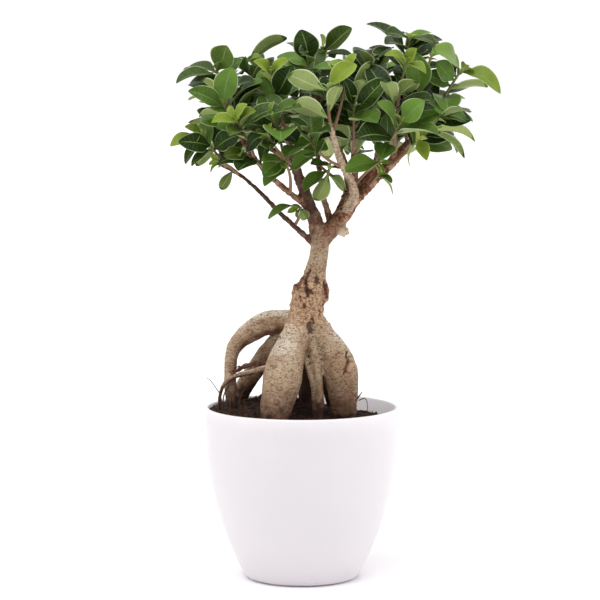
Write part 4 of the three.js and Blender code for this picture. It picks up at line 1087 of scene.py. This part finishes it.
# leaves that the photo shows one by one: stem, how far down it, reach to the leaf's tip, width, facing,
# curl, and how young and bright it is
seenLeaves = [
    [1, 2, [6, -8, 17], 20, [-0.2, -1, 0.3], 0.3, 0.25],
    [1, 6, [-28, -14, -2], 17, [-0.1, -0.45, 1], 0.8, 0.1],
    [1, 4, [-24, 12, 7], 15, [0, -0.5, 1], 0.5, 0.2],
    [1, 10, [14, -8, 16], 14, [-0.5, -0.6, 0.6], 0.4, 0],
    [2, 5, [5, -8, 25], 18, [-0.1, -1, 0.25], 0.35, 0],
    [2, 6, [-20, -10, 12], 14, [-0.2, -0.8, 0.45], 0.4, 0],
    [2, 3, [-13, 12, 17], 12, [0.7, 0.4, 0.5], 0.3, 0.3],
    [2, 13, [-11, -12, 6], 12, [0, -0.7, 0.7], 0.6, 0],
    [2, 13, [-20, 6, 1], 12, [0, 0.3, 1], 0.6, 0.1],
    [3, 1, [-21, -10, -2], 13, [0, -0.6, 0.8], 0.4, 0.7],
    [3, 10, [-17, -12, 4], 15, [-0.3, -0.8, 0.2], 0.9, 0],
    [3, 14, [15, -14, 11], 16, [0.1, -0.9, 0.4], 0.35, 0],
    [3, 14, [-12, 8, -9], 11, [0.6, 0, 0.75], 0.7, 0],
    [3, 1, [-10, -4, 9], 12, [-0.2, -0.5, 0.9], 0.5, 0.5],
    [3, 5, [-15, -10, -13], 11, [-0.3, -0.5, 0.8], 0.9, 0.15],
    [3, 13, [-14, -12, -9], 8, [-0.2, -0.6, 0.8], 0.9, 0],
    [4, 1, [7, -6, 11], 9, [-0.4, -0.7, 0.6], 0.4, 0.8],
    [4, 2, [-15, -8, 1], 11, [0, -0.7, 0.7], 0.6, 0.8],
    [4, 4, [10, -14, 9], 12, [-0.5, -0.6, 0.6], 0.5, 0.55],
    [4, 10, [27, -10, 15], 17, [-0.3, -0.6, 0.8], 0.6, 0.05],
    [5, 2, [8, -9, 6], 8, [0, -0.6, 0.8], 0.4, 0.45],
    [5, 14, [-4, -12, 12], 12, [-0.5, -0.8, 0.3], 0.35, 0],
    [5, 14, [3, -15, 8], 12, [0.4, -0.9, 0.2], 0.3, 0],
    [5, 2, [25, 8, 20], 13, [-0.5, 0.6, 0.4], 0.3, 0],
    [6, 3, [17, -14, 9], 14, [-0.2, -0.6, 0.8], 0.7, 0.1],
    [7, 3, [-9, -12, 11], 10, [-0.3, -0.7, 0.6], 0.5, 0.9],
    [7, 2, [9, -12, 11], 10, [0.3, -0.7, 0.6], 0.5, 0.9],
    [7, 18, [9, -18, 18], 18, [0, -1, 0.3], 0.35, 0],
    [7, 20, [-11, -8, 20], 15, [-0.3, -0.9, 0.3], 0.4, 0],
    [9, 6, [-4, -10, 21], 19, [0, -1, 0.25], 0.35, 0],
    [9, 8, [-2, -16, 12], 14, [0.2, -0.8, 0.6], 0.5, 0.1],
    [9, 9, [-12, 6, 9], 13, [-0.3, -0.5, 0.8], 0.5, 0.15],
    [10, 1, [18, -10, 17], 16, [-0.2, -0.9, 0.45], 0.35, 0.2],
    [10, 2, [0, 4, 13], 11, [0.8, 0.3, 0.3], 0.3, 0.3],
    [10, 3, [23, 6, 0], 13, [0, -0.35, 1], 0.5, 0],
    [12, 3, [-27, -10, 13], 16, [0.1, 0.9, 0.45], 0.3, 0.12],
    [12, 24, [-25, -14, 13], 16, [0.1, 0.9, 0.45], 0.3, 0.12],
    [12, 20, [6, -10, 21], 12, [-0.55, 0.8, 0.15], 0.25, 0.25],
    [12, 1, [18, 2, 18], 15, [-0.2, -0.8, 0.5], 0.4, 0.85],
    [13, 4, [-5, -10, 18], 12, [0.5, -0.8, 0.2], 0.3, 0],
    [13, 3, [8, -10, 18], 13, [-0.3, 0.9, 0.2], 0.3, 0.25],
    [13, 2, [10, 4, 30], 12, [-0.7, 0.6, 0.2], 0.3, 0.3],
    [13, 10, [20, -14, 24], 16, [-0.3, -0.9, 0.3], 0.4, 0],
    [14, 5, [15, 12, 13], 14, [-0.3, -0.4, 0.8], 0.4, 0.1],
    [15, 2, [-12, -8, 8], 10, [-0.2, -0.6, 0.7], 0.5, 0.85],
    [15, 1, [5, -12, 9], 9, [0.2, -0.8, 0.5], 0.4, 0.9],
    [15, 2, [12, -10, -3], 10, [0.2, -0.6, 0.8], 0.6, 0.7],
    [16, 1, [-17, -10, 5], 15, [0, -0.6, 0.85], 0.6, 0.15],
    [16, 3, [15, -16, 2], 13, [0.1, -0.5, 0.9], 0.7, 0.2],
    [16, 11, [-14, -18, 9], 17, [-0.2, -0.8, 0.55], 0.4, 0],
    [17, 6, [-6, -11, 19], 13, [0.3, 0.9, 0.2], 0.3, 0.15],
    [17, 1, [15, -13, 13], 14, [-0.2, 0.8, 0.5], 0.3, 0.2],
    [17, 8, [-17, 7, 30], 17, [0.2, -0.9, 0.3], 0.45, 0],
    [18, 2, [13, -8, 14], 17, [-0.3, -0.9, 0.25], 0.8, 0],
    [19, 1, [14, 12, 6], 14, [0, -0.6, 0.8], 0.5, 0.1],
    [19, 33, [-4, -14, 28], 19, [-0.1, -1, 0.2], 0.35, 0],
    [19, 38, [-14, -14, 19], 16, [0.3, -0.9, 0.2], 0.35, 0],
    [20, 3, [-14, -20, 18], 18, [0.3, -0.8, 0.5], 0.45, 0.35],
    [20, 1, [-13, 8, 14], 13, [0.3, -0.5, 0.8], 0.5, 0.5],
    [20, 2, [26, -12, -9], 18, [0.2, -0.6, 0.75], 0.9, 0.6],
    [20, 18, [27, -2, 5], 13, [-0.2, 0.5, 0.8], 0.3, 0.05],
    [20, 22, [15, 12, 6], 13, [0, -0.5, 0.8], 0.4, 0],
    [20, 10, [-12, -8, 13], 15, [-0.1, -0.9, 0.4], 0.45, 0.05],
    [20, 15, [-16, -10, 9], 14, [-0.2, -0.8, 0.5], 0.5, 0],
    [20, 7, [-6, 12, 10], 12, [-0.4, -0.8, 0.3], 0.4, 0.1],
    [21, 1, [16, -8, -2], 14, [0.2, -0.6, 0.8], 0.9, 0],
    [21, 3, [19, -18, 7], 13, [-0.1, 0.5, 0.8], 0.4, 0.15],
    [21, 10, [25, -20, 4], 17, [0, -0.75, 0.6], 0.5, 0],
    [21, 17, [33, -12, -3], 15, [0, 0.35, 0.9], 0.3, 0.35],
    [21, 19, [27, -4, -18], 12, [0.3, 0.5, 0.8], 1, 0],
    [22, 1, [4, -12, -12], 10, [0, -0.9, 0.2], 0.4, 0.9],
    [22, 4, [-8, -6, -15], 10, [-0.3, 0.4, 0.8], 0.6, 0],
    [23, 1, [-22, -14, -3], 15, [0, -0.85, 0.5], 0.3, 0.15],
    [25, 3, [-13, -10, 0], 13, [0, -0.8, 0.5], 0.5, 0.3],
    [25, 3, [10, -14, 13], 13, [0, -0.8, 0.5], 0.5, 0],
    [26, 4, [-14, -10, -7], 15, [-0.1, -0.9, 0.4], 0.5, 0.05],
    [26, 2, [-13, -4, 3], 12, [0, -0.6, 0.8], 0.6, 0],
    [27, 14, [-9, -8, -14], 8, [0.2, 0.9, 0.3], 0.3, 0],
    [28, 1, [-21, -10, -5], 11, [-0.1, -0.3, 0.9], 1.2, 0],
    [28, 2, [5, -6, -8], 8, [0, 0.9, 0.3], 0.3, 0.15],
    [29, 1, [-13, -6, 3], 11, [-0.1, -0.5, 0.8], 0.5, 0],
    [29, 2, [12, -8, 1], 10, [0.1, -0.4, 0.8], 0.5, 0.1],
    [29, 4, [-18, -10, -13], 13, [-0.3, -0.6, 0.7], 0.4, 0.15],
    [29, 6, [-9, -8, -21], 12, [0.3, 0.9, 0.1], 0.3, 0.2],
    [29, 9, [13, -10, -11], 12, [0.2, 0.8, 0.5], 0.4, 0.2],
    [30, 1, [11, -4, -12], 6, [0.3, 0.1, 0.8], 0.5, 0],
    [30, 2, [9, -8, -3], 8, [0.1, -0.3, 0.9], 0.6, 0],
]
crownCentre = np.array([15, 8, 290])  # the stems fan out from here
light = unit(np.array([0, -0.45, 0.9]))  # the leaves turn towards it
up = np.array([0, 0, 1])
leafRule = {
    "widthRatio": 0.67, "margin": 0.8, "foot": 0.04, "lift": 0.22, "twist": 50, "bend": 0.55,
    "outline": [[0, 0.06], [0.43, 0.92], [0.79, 0.84], [1, 0]],
    "lengthVary": (0.9, 0.2), "widthVary": (0.92, 0.16), "bendVary": (0.5, 1),  # the least, how much more
}
growth = {
    "turn": 137.5, "firstLeaf": 1.2, "spacing": 5.2, "bareShare": 0.12, "openFirst": 14, "openMore": 48,
    "stray": 20, "youngest": 0.45, "perLeaf": 0.2, "crowding": 0.92, "opensBy": 2,
}
twig = {
    "baseRadius": 1.6, "tipRadius": 0.9, "bow": 0.45, "stretches": 5, "step": 5, "sides": 6,
    "measured": 200,
}
clear = {"sibling": 0.9, "leaf": 1.5, "wood": 1.1, "search": 3, "view": 0.3}
leafSamples = (14, 3)  # rows along a leaf, and columns on each side of its rib
jointSamples = 35  # near the joint, where seen leaves of one stem may touch
viewSlope = 0.1  # the photograph looks down by this much
depthTries = [0, -5, 5, -10, 10, -15, 15, -20, 20, -26, 26]
# small inner leaves, only in the scene: none below the height or in front of the depth given
fullness = {"perStem": 8, "firstLeaf": 1.5, "step": 1.4, "ease": 0.4, "above": 314, "behind": -28}
tries = [  # roll, lift and shrink
    [0, 0, 1], [14, 0, 1], [-14, 0, 1], [0, -14, 1], [0, 14, 1], [26, -8, 1], [-26, -8, 1], [26, 10, 0.95],
    [-26, 10, 0.95], [0, -28, 0.92], [40, 0, 0.92], [-40, 0, 0.92], [40, -20, 0.85], [-40, -20, 0.85],
    [60, 0, 0.85], [-60, 0, 0.85], [0, 30, 0.8], [20, -34, 0.75], [-20, -34, 0.75],
]


def stemOf(row):  # where a stem starts on its bough, the point that bows it, and its tip
    bough, at, tip, lean = row[:4]
    start = catmullRom(np.array(boughs[bough])[:, :3], at)
    tip = np.array(tip, float)
    heading = unit(between(up, unit(tip - crownCentre), lean))
    return start, tip - heading * twig["bow"] * np.linalg.norm(tip - start), tip


def onStem(stem, t):
    start, bow, tip = stem
    return (1 - t) ** 2 * start + 2 * (1 - t) * t * bow + t * t * tip


def stemHeading(stem, t):
    start, bow, tip = stem
    return unit((1 - t) * (bow - start) + t * (tip - bow))


def stemLength(stem):
    steps = twig["measured"]
    points = np.array([onStem(stem, i / steps) for i in range(steps + 1)])
    return np.linalg.norm(np.diff(points, axis=0), axis=1).sum()


def spun(vector, axis, degrees):  # a vector turned about an axis that is square to it
    a = math.radians(degrees)
    return vector * math.cos(a) + np.cross(axis, vector) * math.sin(a)


def varied(rule, draw):  # the least, and more by a draw from 0 to 1
    least, more = rule
    return least + more * draw


def leafOf(spray, stem, k, swing):  # a leaf that fills in, k places down its stem
    roll, lift, shrink = swing
    length, turn = sprays[spray][5:]
    draw = lambda n: chance(spray * 31 + k * 7 + n)
    back = growth["firstLeaf"] + growth["spacing"] * k ** growth["crowding"]
    t = max(growth["bareShare"], 1 - back / stemLength(stem))
    axis = stemHeading(stem, t)
    flat = unit(np.cross(axis, up))
    rise = np.cross(flat, axis)
    about = math.radians(turn + roll + growth["stray"] * (draw(1) - 0.5) + growth["turn"] * k)
    outwards = flat * math.cos(about) + rise * math.sin(about)
    opened = growth["openFirst"] + growth["openMore"] * (1 - math.exp(-k / growth["opensBy"]))
    open_ = math.radians(opened + lift + growth["stray"] * (draw(2) - 0.5))
    along = unit(axis * math.cos(open_) + outwards * math.sin(open_) + light * leafRule["lift"])
    side = unit(np.cross(along, axis + light))
    side = spun(side, along, leafRule["twist"] * (draw(6) - 0.5))
    grown = length * min(1, growth["youngest"] + growth["perLeaf"] * k) * shrink
    grown *= varied(leafRule["lengthVary"], draw(3))
    return {
        "spray": spray, "k": k, "base": onStem(stem, t), "along": along, "side": side,
        "face": np.cross(side, along), "length": grown, "seen": False,
        "bend": leafRule["bend"] * varied(leafRule["bendVary"], draw(5)),
        "width": grown * leafRule["widthRatio"] * varied(leafRule["widthVary"], draw(4)),
    }


def halfWidth(blade, v):  # v runs along a leaf from 0 to 1
    shares, widths = zip(*leafRule["outline"])
    return blade["width"] / 2 * np.interp(v, shares, widths)


def onLeaf(blade, u, v, lift=0.0):  # places on the arched blade: u across it in mm, lift above it
    radius = blade["length"] / blade["bend"]
    turn = blade["bend"] * np.asarray(v, float)
    rises = (radius + lift) * np.sin(turn)
    drops = (radius + lift) * np.cos(turn) - radius
    middle = blade["base"] + rises[..., None] * blade["along"] + drops[..., None] * blade["face"]
    return middle + np.asarray(u)[..., None] * blade["side"]


def nearLeaf(blade, points, reach):  # whether any of the points comes within reach of the blade
    fromBase = points - blade["base"]
    radius = blade["length"] / blade["bend"]
    x = fromBase @ blade["along"]
    z = fromBase @ blade["face"] + radius
    v = np.arctan2(x, z) / blade["bend"]
    across = np.abs(fromBase @ blade["side"])
    hit = (v >= leafRule["foot"]) & (v <= 1 + leafRule["foot"])
    hit &= np.abs(np.hypot(x, z) - radius) < reach
    return (hit & (across < halfWidth(blade, v) + leafRule["margin"])).any()


def toSegments(points, starts, ends):  # how far every point is from every straight stretch of wood
    along = ends - starts
    fromStart = points[:, None] - starts[None]
    t = np.clip((fromStart * along).sum(2) / (along**2).sum(1), 0, 1)
    return np.linalg.norm(fromStart - t[..., None] * along, axis=2)


def seenLeaf(row, stems, depth):  # one of the photo's leaves, its tip moved back by depth
    number, back, reach, width, facing, bend, youth = row
    stem = stems[number - 1]
    chord = np.array(reach, float) + (0, depth, 0)
    side = unit(np.cross(chord, facing))
    raised = unit(np.cross(side, chord))
    along = unit(chord) * math.cos(bend / 2) + raised * math.sin(bend / 2)
    return {
        "spray": number - 1, "k": back, "base": onStem(stem, 1 - back / stemLength(stem)), "along": along,
        "side": side, "face": np.cross(side, along), "width": width, "bend": bend, "youth": youth,
        "length": np.linalg.norm(chord) * bend / (2 * math.sin(bend / 2)), "seen": True,
    }


def placeLeaves(stems):  # each leaf takes the first of its tries that is clear of all before it
    starts, ends, thick, owners = [], [], [], []
    for path in boughs.values():
        for a, b in zip(path, path[1:]):
            starts.append(a[:3])
            ends.append(b[:3])
            thick.append(max(a[3], b[3]))
            owners.append(-1)
    for owner, stem in enumerate(stems):
        points = [onStem(stem, i / twig["stretches"]) for i in range(twig["stretches"] + 1)]
        starts += points[:-1]
        ends += points[1:]
        thick += [twig["baseRadius"]] * twig["stretches"]
        owners += [owner] * twig["stretches"]
    starts, ends = np.array(starts, float), np.array(ends, float)
    thick, owners = np.array(thick), np.array(owners)
    down, side = leafSamples
    rows, columns = np.arange(1, down + 1) / down, np.arange(-side, side + 1) / side
    rows, columns = [grid.ravel() for grid in np.meshgrid(rows, columns, indexing="ij")]
    placed = []

    def isClear(blade, ease):
        for other in placed:
            apart = np.linalg.norm(other["middle"] - blade["middle"])
            if apart > (other["length"] + blade["length"]) / 2 + clear["search"]:
                continue
            sibling = other["spray"] == blade["spray"]
            reach = ease * (clear["sibling"] if sibling else clear["leaf"])
            skip = jointSamples if sibling and blade["seen"] and other["seen"] else 0
            if nearLeaf(other, blade["samples"][skip:], reach):
                return False
            if nearLeaf(blade, other["samples"][skip:], reach):
                return False
        near = toSegments(blade["middle"][None], starts, ends)[0] < blade["length"]
        near &= owners != blade["spray"]
        gaps = toSegments(blade["samples"], starts[near], ends[near]) - thick[near]
        return not gaps.size or gaps.min() >= clear["wood"] * ease

    def hidesSeen(blade):
        for other in placed:
            away = blade["samples"] - other["middle"]
            across = np.hypot(away[:, 0], away[:, 2] + viewSlope * away[:, 1])
            if other["seen"] and ((away[:, 1] < 0) & (across < clear["view"] * other["length"])).any():
                return True
        return False

    def keepFirst(choices, ease=1.0):
        for blade in choices:
            blade["samples"] = onLeaf(blade, columns * halfWidth(blade, rows), rows)
            blade["middle"] = onLeaf(blade, np.zeros(1), np.array([0.5]))[0]
            if isClear(blade, ease) and (blade["seen"] or not hidesSeen(blade)):
                placed.append(blade)
                return

    for row in seenLeaves:
        keepFirst(seenLeaf(row, stems, depth) for depth in depthTries)
    withSeen = {blade["spray"] for blade in placed}
    for spray, row in enumerate(sprays):
        first = firstFilling if spray in withSeen else 0
        for k in range(first, first + row[4]):
            keepFirst(leafOf(spray, stems[spray], k, swing) for swing in tries)
    print("leaves as in the part:", len(placed))
    for n in range(fullness["perStem"]):
        for spray, stem in enumerate(stems):
            k = fullness["firstLeaf"] + fullness["step"] * n
            swung = [leafOf(spray, stem, k, swing) for swing in tries]
            if swung[0]["base"][2] > fullness["above"]:
                tips = [blade["base"] + blade["along"] * blade["length"] for blade in swung]
                inner = [blade for blade, tip in zip(swung, tips) if tip[1] > fullness["behind"]]
                keepFirst(inner, fullness["ease"])
    return placed


# a leaf's fine shape: shares of its length and half width, then how it folds and curls
leafForm = {
    "rows": [
        (0, 0.09), (0.13, 0.13), (0.29, 0.6), (0.46, 0.95), (0.64, 1.04), (0.81, 0.93), (0.94, 0.6),
        (1, 0.16),
    ],
    "columns": 4, "thickness": 0.5, "edge": 0.3, "fold": (0.4, 0.9), "foldYoung": 0.6, "cup": 0.35,
    "wave": 1.1, "waves": 9, "waveWidth": 8, "tipDrop": (0.02, 0.16), "tipFrom": 0.55, "skew": 0.35,
    "sunk": 0.35, "sinks": 3,  # how far the blade lies below its joint, and how soon
}
# how strongly the tip of each stem has flushed into bright young leaves, for the stems that have
flush = {
    1: 0.35, 4: 0.9, 6: 0.3, 7: 1, 10: 0.5, 11: 1, 13: 0.4, 15: 0.9, 16: 0.5, 19: 0.4, 20: 0.9, 22: 0.9,
    33: 0.5, 37: 0.7, 38: 0.6, 42: 0.6, 45: 0.5,
}
shootLook = {
    "flush": (0.12, 0.35), "knuckle": 0.12, "greenFrom": 0.35, "greenOver": 0.6, "green": (0.45, 1),
    "fade": 1.7, "fadeVary": (0.7, 1.1), "tone": 0.5,
}
youngRule = {
    "extra": 3, "more": 3, "length": (6, 13), "lengthFlush": (0.75, 1.1), "width": 0.5, "open": (10, 46),
    "first": 0.6, "spacing": 1.3, "bend": (0.5, 0.5), "youth": (0.25, 1.15),
}
budRule = {"length": 6.5, "radius": 0.85, "youth": 0.45, "tone": 0.6, "waist": 0.2, "belly": 1.5}


def makeLeafBlank():  # a flat leaf: x is a share of half the width, y of the length, z in mm
    rows = leafForm["rows"]
    deselectAll()
    bpy.ops.mesh.primitive_grid_add(
        x_subdivisions=leafForm["columns"], y_subdivisions=len(rows) - 1, size=2 * mm
    )
    blank = bpy.context.object
    blank.name = "leaf_blank"
    for n, (share, wide) in enumerate(rows):
        y = -1 + 2 * n / (len(rows) - 1)
        selectWhere(blank, lambda place: abs(place.y - y) < 0.01)
        bpy.ops.transform.resize(value=(wide, 1, 1), center_override=(0, y * mm, 0))
        bpy.ops.object.mode_set(mode="OBJECT")
    points = pointsOf(blank)
    points[:, 1] = np.interp(points[:, 1], np.linspace(-1, 1, len(rows)), [share for share, _ in rows])
    movePoints(blank, points)
    applyModifier(blank, "SOLIDIFY", thickness=leafForm["thickness"] * mm, offset=0)
    points = pointsOf(blank)
    uv = np.empty(len(blank.data.loops) * 2, np.float32)
    blank.data.uv_layers[0].data.foreach_get("uv", uv)
    across = np.zeros(len(points))
    corners = np.empty(len(blank.data.loops), np.int32)
    blank.data.loops.foreach_get("vertex_index", corners)
    across[corners] = uv.reshape(-1, 2)[:, 0] * 2 - 1
    onEdge = (np.abs(across) > 0.99) | (points[:, 1] > 0.99)
    points[onEdge, 2] *= leafForm["edge"]
    movePoints(blank, points)
    for face in blank.data.polygons:
        face.material_index = 1 if face.normal.z < -0.5 else 0
        face.use_smooth = True
    return blank


def shapeLeaf(flat, blade, draw, youth):  # folds, curls and lays a flat leaf where its blade is
    form, half = leafForm, blade["width"] / 2
    x, y, z = flat[:, 0] * half, flat[:, 1], flat[:, 2]
    wide = np.abs(flat[:, 0])
    fold = between(*form["fold"], draw(11)) + form["foldYoung"] * youth
    keel = half * (fold * wide - form["cup"] * fold * wide**2)
    ripple = np.sin(form["waves"] * y + 6.3 * draw(12) + 2 * np.sign(flat[:, 0]))
    wave = form["wave"] * wide * ripple * min(1, half / form["waveWidth"])
    past = np.maximum(0, (y - form["tipFrom"]) / (1 - form["tipFrom"]))
    drop = between(*form["tipDrop"], draw(13)) * blade["length"] * past**2
    skew = form["skew"] * half * (draw(14) - 0.5) * np.sin(math.pi * y)
    sunk = form["sunk"] * half * fold * np.minimum(1, y * form["sinks"])
    rise = keel - keel[wide < 0.01].mean() + wave - drop - sunk
    return onLeaf(blade, x + skew, y, z) + rise[:, None] * blade["face"]


def makeBudBlank():  # a slim bud, 1 mm long and 1 mm thick before it is scaled
    deselectAll()
    bpy.ops.mesh.primitive_cone_add(vertices=6, radius1=0.5 * mm, depth=mm, end_fill_type="TRIFAN")
    bud = bpy.context.object
    waist, belly = (0, 0, -budRule["waist"] * mm), budRule["belly"]
    bpy.ops.object.mode_set(mode="EDIT")
    bpy.ops.mesh.select_all(action="SELECT")
    bpy.ops.mesh.bisect(plane_co=waist, plane_no=(0, 0, 1))
    bpy.ops.transform.resize(value=(belly, belly, 1), center_override=waist)
    bpy.ops.object.mode_set(mode="OBJECT")
    movePoints(bud, pointsOf(bud) + (0, 0, 0.5))
    for face in bud.data.polygons:
        face.use_smooth = True
    bud.data.uv_layers[0].name = "UVMap"
    return bud


def copyWith(blank, points, youth, tone):  # a copy whose points and ages are its own
    copy = copyOf(blank, points)
    giveValue(copy, "youth", youth)
    giveValue(copy, "tone", tone)
    return copy


def makeShoot(stem, fresh, finishes):  # the bare stem: thicker at each joint, and greener towards the tip
    length = stemLength(stem)
    shares = np.linspace(0, 1, max(5, round(length / twig["step"])) + 1)
    radii = between(twig["baseRadius"], twig["tipRadius"], shares)
    joints = np.sin(shares * length * 2 * math.pi / growth["spacing"])
    radii = radii * (1 + shootLook["knuckle"] * joints)
    shoot = tube([[*onStem(stem, t), r] for t, r in zip(shares, radii)], twig["sides"])
    along = np.array([onStem(stem, t) for t in np.linspace(0, 1, 40)])
    share = np.linalg.norm(pointsOf(shoot)[:, None] - along[None], axis=2).argmin(1) / 39
    green = np.clip((share - shootLook["greenFrom"]) / shootLook["greenOver"], 0, 1)
    giveValue(shoot, "youth", green * between(*shootLook["green"], fresh))
    giveValue(shoot, "tone", shootLook["tone"])
    for finish in finishes:
        shoot.data.materials.append(finish)
    faces = shoot.data.polygons
    faces.foreach_set("material_index", [2] * len(faces))
    faces.foreach_set("use_smooth", [True] * len(faces))
    return shoot


def youngLeaves(spray, stem, fresh, blank, flat):  # small leaves that open round the tip, only in the scene
    rule, heading = youngRule, stemHeading(stem, 1)
    sideways = unit(np.cross(heading, up + 0.01))
    leaves = []
    for n in range(rule["extra"] + round(rule["more"] * fresh)):
        own = lambda m: chance(spray * 71 + n * 23 + m)
        outwards = spun(sideways, heading, growth["turn"] * n + 360 * own(5))
        opened = math.radians(between(*rule["open"], own(6)))
        along = unit(heading * math.cos(opened) + outwards * math.sin(opened))
        side = unit(np.cross(along, heading))
        size = between(*rule["length"], own(7)) * between(*rule["lengthFlush"], fresh)
        blade = {
            "base": stem[2] - heading * (rule["first"] + rule["spacing"] * n), "along": along, "side": side,
            "face": np.cross(side, along), "length": size, "width": rule["width"] * size,
            "bend": varied(rule["bend"], own(8)),
        }
        youth = min(1, between(*rule["youth"], fresh))
        leaves.append(copyWith(blank, shapeLeaf(flat, blade, own, youth), youth, own(2)))
    return leaves


def makeLeafyStems():
    stems = [stemOf(row) for row in sprays]
    blades = placeLeaves(stems)
    print("leaves placed:", len(blades))
    blank, bud = makeLeafBlank(), makeBudBlank()
    flat, slim = pointsOf(blank), pointsOf(bud)
    finishes = [figLeaf("upper"), figLeaf("under"), greenTwig()]
    for finish in finishes:
        blank.data.materials.append(finish)
    bud.data.materials.append(finishes[0])
    extra = 0
    for spray, stem in enumerate(stems):
        fresh = flush.get(spray + 1, varied(shootLook["flush"], chance(spray * 17 + 3)))
        pieces = [makeShoot(stem, fresh, finishes)]
        for blade in (blade for blade in blades if blade["spray"] == spray):
            own = lambda n: chance(spray * 53 + blade["k"] * 19 + n)
            fading = fresh * math.exp(-blade["k"] / shootLook["fade"])
            youth = blade.get("youth", fading * between(*shootLook["fadeVary"], own(1)))
            leaf = copyWith(blank, shapeLeaf(flat, blade, own, youth), min(1, youth), own(2))
            pieces.append(leaf)
        young = youngLeaves(spray, stem, fresh, blank, flat)
        extra += len(young)
        heading = stemHeading(stem, 1)
        sideways = unit(np.cross(heading, up + 0.01))
        ways = np.array([sideways, np.cross(heading, sideways), heading])
        size = np.array([2 * budRule["radius"], 2 * budRule["radius"], budRule["length"]])
        place = (slim * size) @ ways + stem[2] - heading
        tipBud = copyWith(bud, place, min(1, budRule["youth"] + fresh), budRule["tone"])
        leafy = joined([*pieces, *young, tipBud], f"leafy_shoot_{spray + 1:02d}")
        leafy.modifiers.new("smooth", "SUBSURF")
        leafy.modifiers["smooth"].levels = 1
        leafy.modifiers["smooth"].render_levels = 1
        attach(leafy, "root")
        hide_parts(f"leafy_stem_{spray + 1:02d}")
    bpy.data.objects.remove(blank)
    bpy.data.objects.remove(bud)
    print("leafy stems made:", len(stems), "with", extra, "extra young leaves")


# floor and lights: light comes from all round, less of it from the camera's side, with a wide lamp above
# and a weak one at the right


studio = {
    "floorSize": 40, "floor": "#fbfafa", "floorCloud": "#f8f7f7", "cloud": 900, "sky": "#ffffff",
    "backdrop": 1.05, "fromFront": 0.3, "fromSides": 0.95, "frontAt": -0.85, "sidesAt": 0.25,
    "suns": [  # name, where it shines from, watts to the square metre, how wide it looks in degrees
        ("key", (-0.18, -0.45, 1.0), 2.1, 60),
        ("right", (1.0, -0.1, 0.4), 0.6, 60),
    ],
}


def mattePaper():
    # Paper sweep: matte and nearly white, with the faintest cloud of a real roll
    look = studio
    material, tree, shader, spot = newMaterial("matte_paper", 0.9, 1.45)
    place = spot.outputs["Object"]
    cloud = addNode(tree, "TexNoise", {}, {"Vector": place, "Scale": perMm(look["cloud"])})
    colour = addNode(tree, "Mix", colourMix, {"Factor": cloud, "A": look["floor"], "B": look["floorCloud"]})
    joinTo(tree, shader, Base_Color=colour)
    return material


def makeStudio():
    deselectAll()
    bpy.ops.mesh.primitive_plane_add(size=studio["floorSize"])
    floor = bpy.context.object
    floor.name = "floor"
    floor.data.materials.append(mattePaper())

    # a white backdrop, with a softer light from all round than the backdrop itself would give
    world = bpy.data.worlds.new("studio")
    world.use_nodes = True
    tree = world.node_tree
    sky = tree.nodes["Background"]
    sky.inputs["Color"].default_value = linear(studio["sky"])
    way = addNode(tree, "TexCoord", {}, {}).outputs["Generated"]
    depth = addNode(tree, "SeparateXYZ", {}, {"Vector": way}).outputs["Y"]
    glow = addNode(
        tree, "MapRange", softStep,
        {
            "Value": depth, "From Min": studio["frontAt"], "From Max": studio["sidesAt"],
            "To Min": studio["fromFront"], "To Max": studio["fromSides"],
        },
    )
    seen = addNode(tree, "LightPath", {}, {}).outputs["Is Camera Ray"]
    strength = addNode(tree, "MapRange", {}, {"Value": seen, "To Min": glow, "To Max": studio["backdrop"]})
    tree.links.new(strength.outputs["Result"], sky.inputs["Strength"])
    bpy.context.scene.world = world
    for name, place, power, width in studio["suns"]:
        bpy.ops.object.light_add(type="SUN", location=place)
        lamp = bpy.context.object
        lamp.name = name
        lamp.data.energy = power
        lamp.data.angle = math.radians(width)
        lamp.rotation_euler = Vector(place).to_track_quat("Z", "Y").to_euler()
    bpy.context.scene.view_settings.view_transform = "Standard"
    print("studio lit")


makeCamera()
makeStudio()
makePot()
makeSoil()
makeWood()
makeHairRoots()
makeLeafyStems()
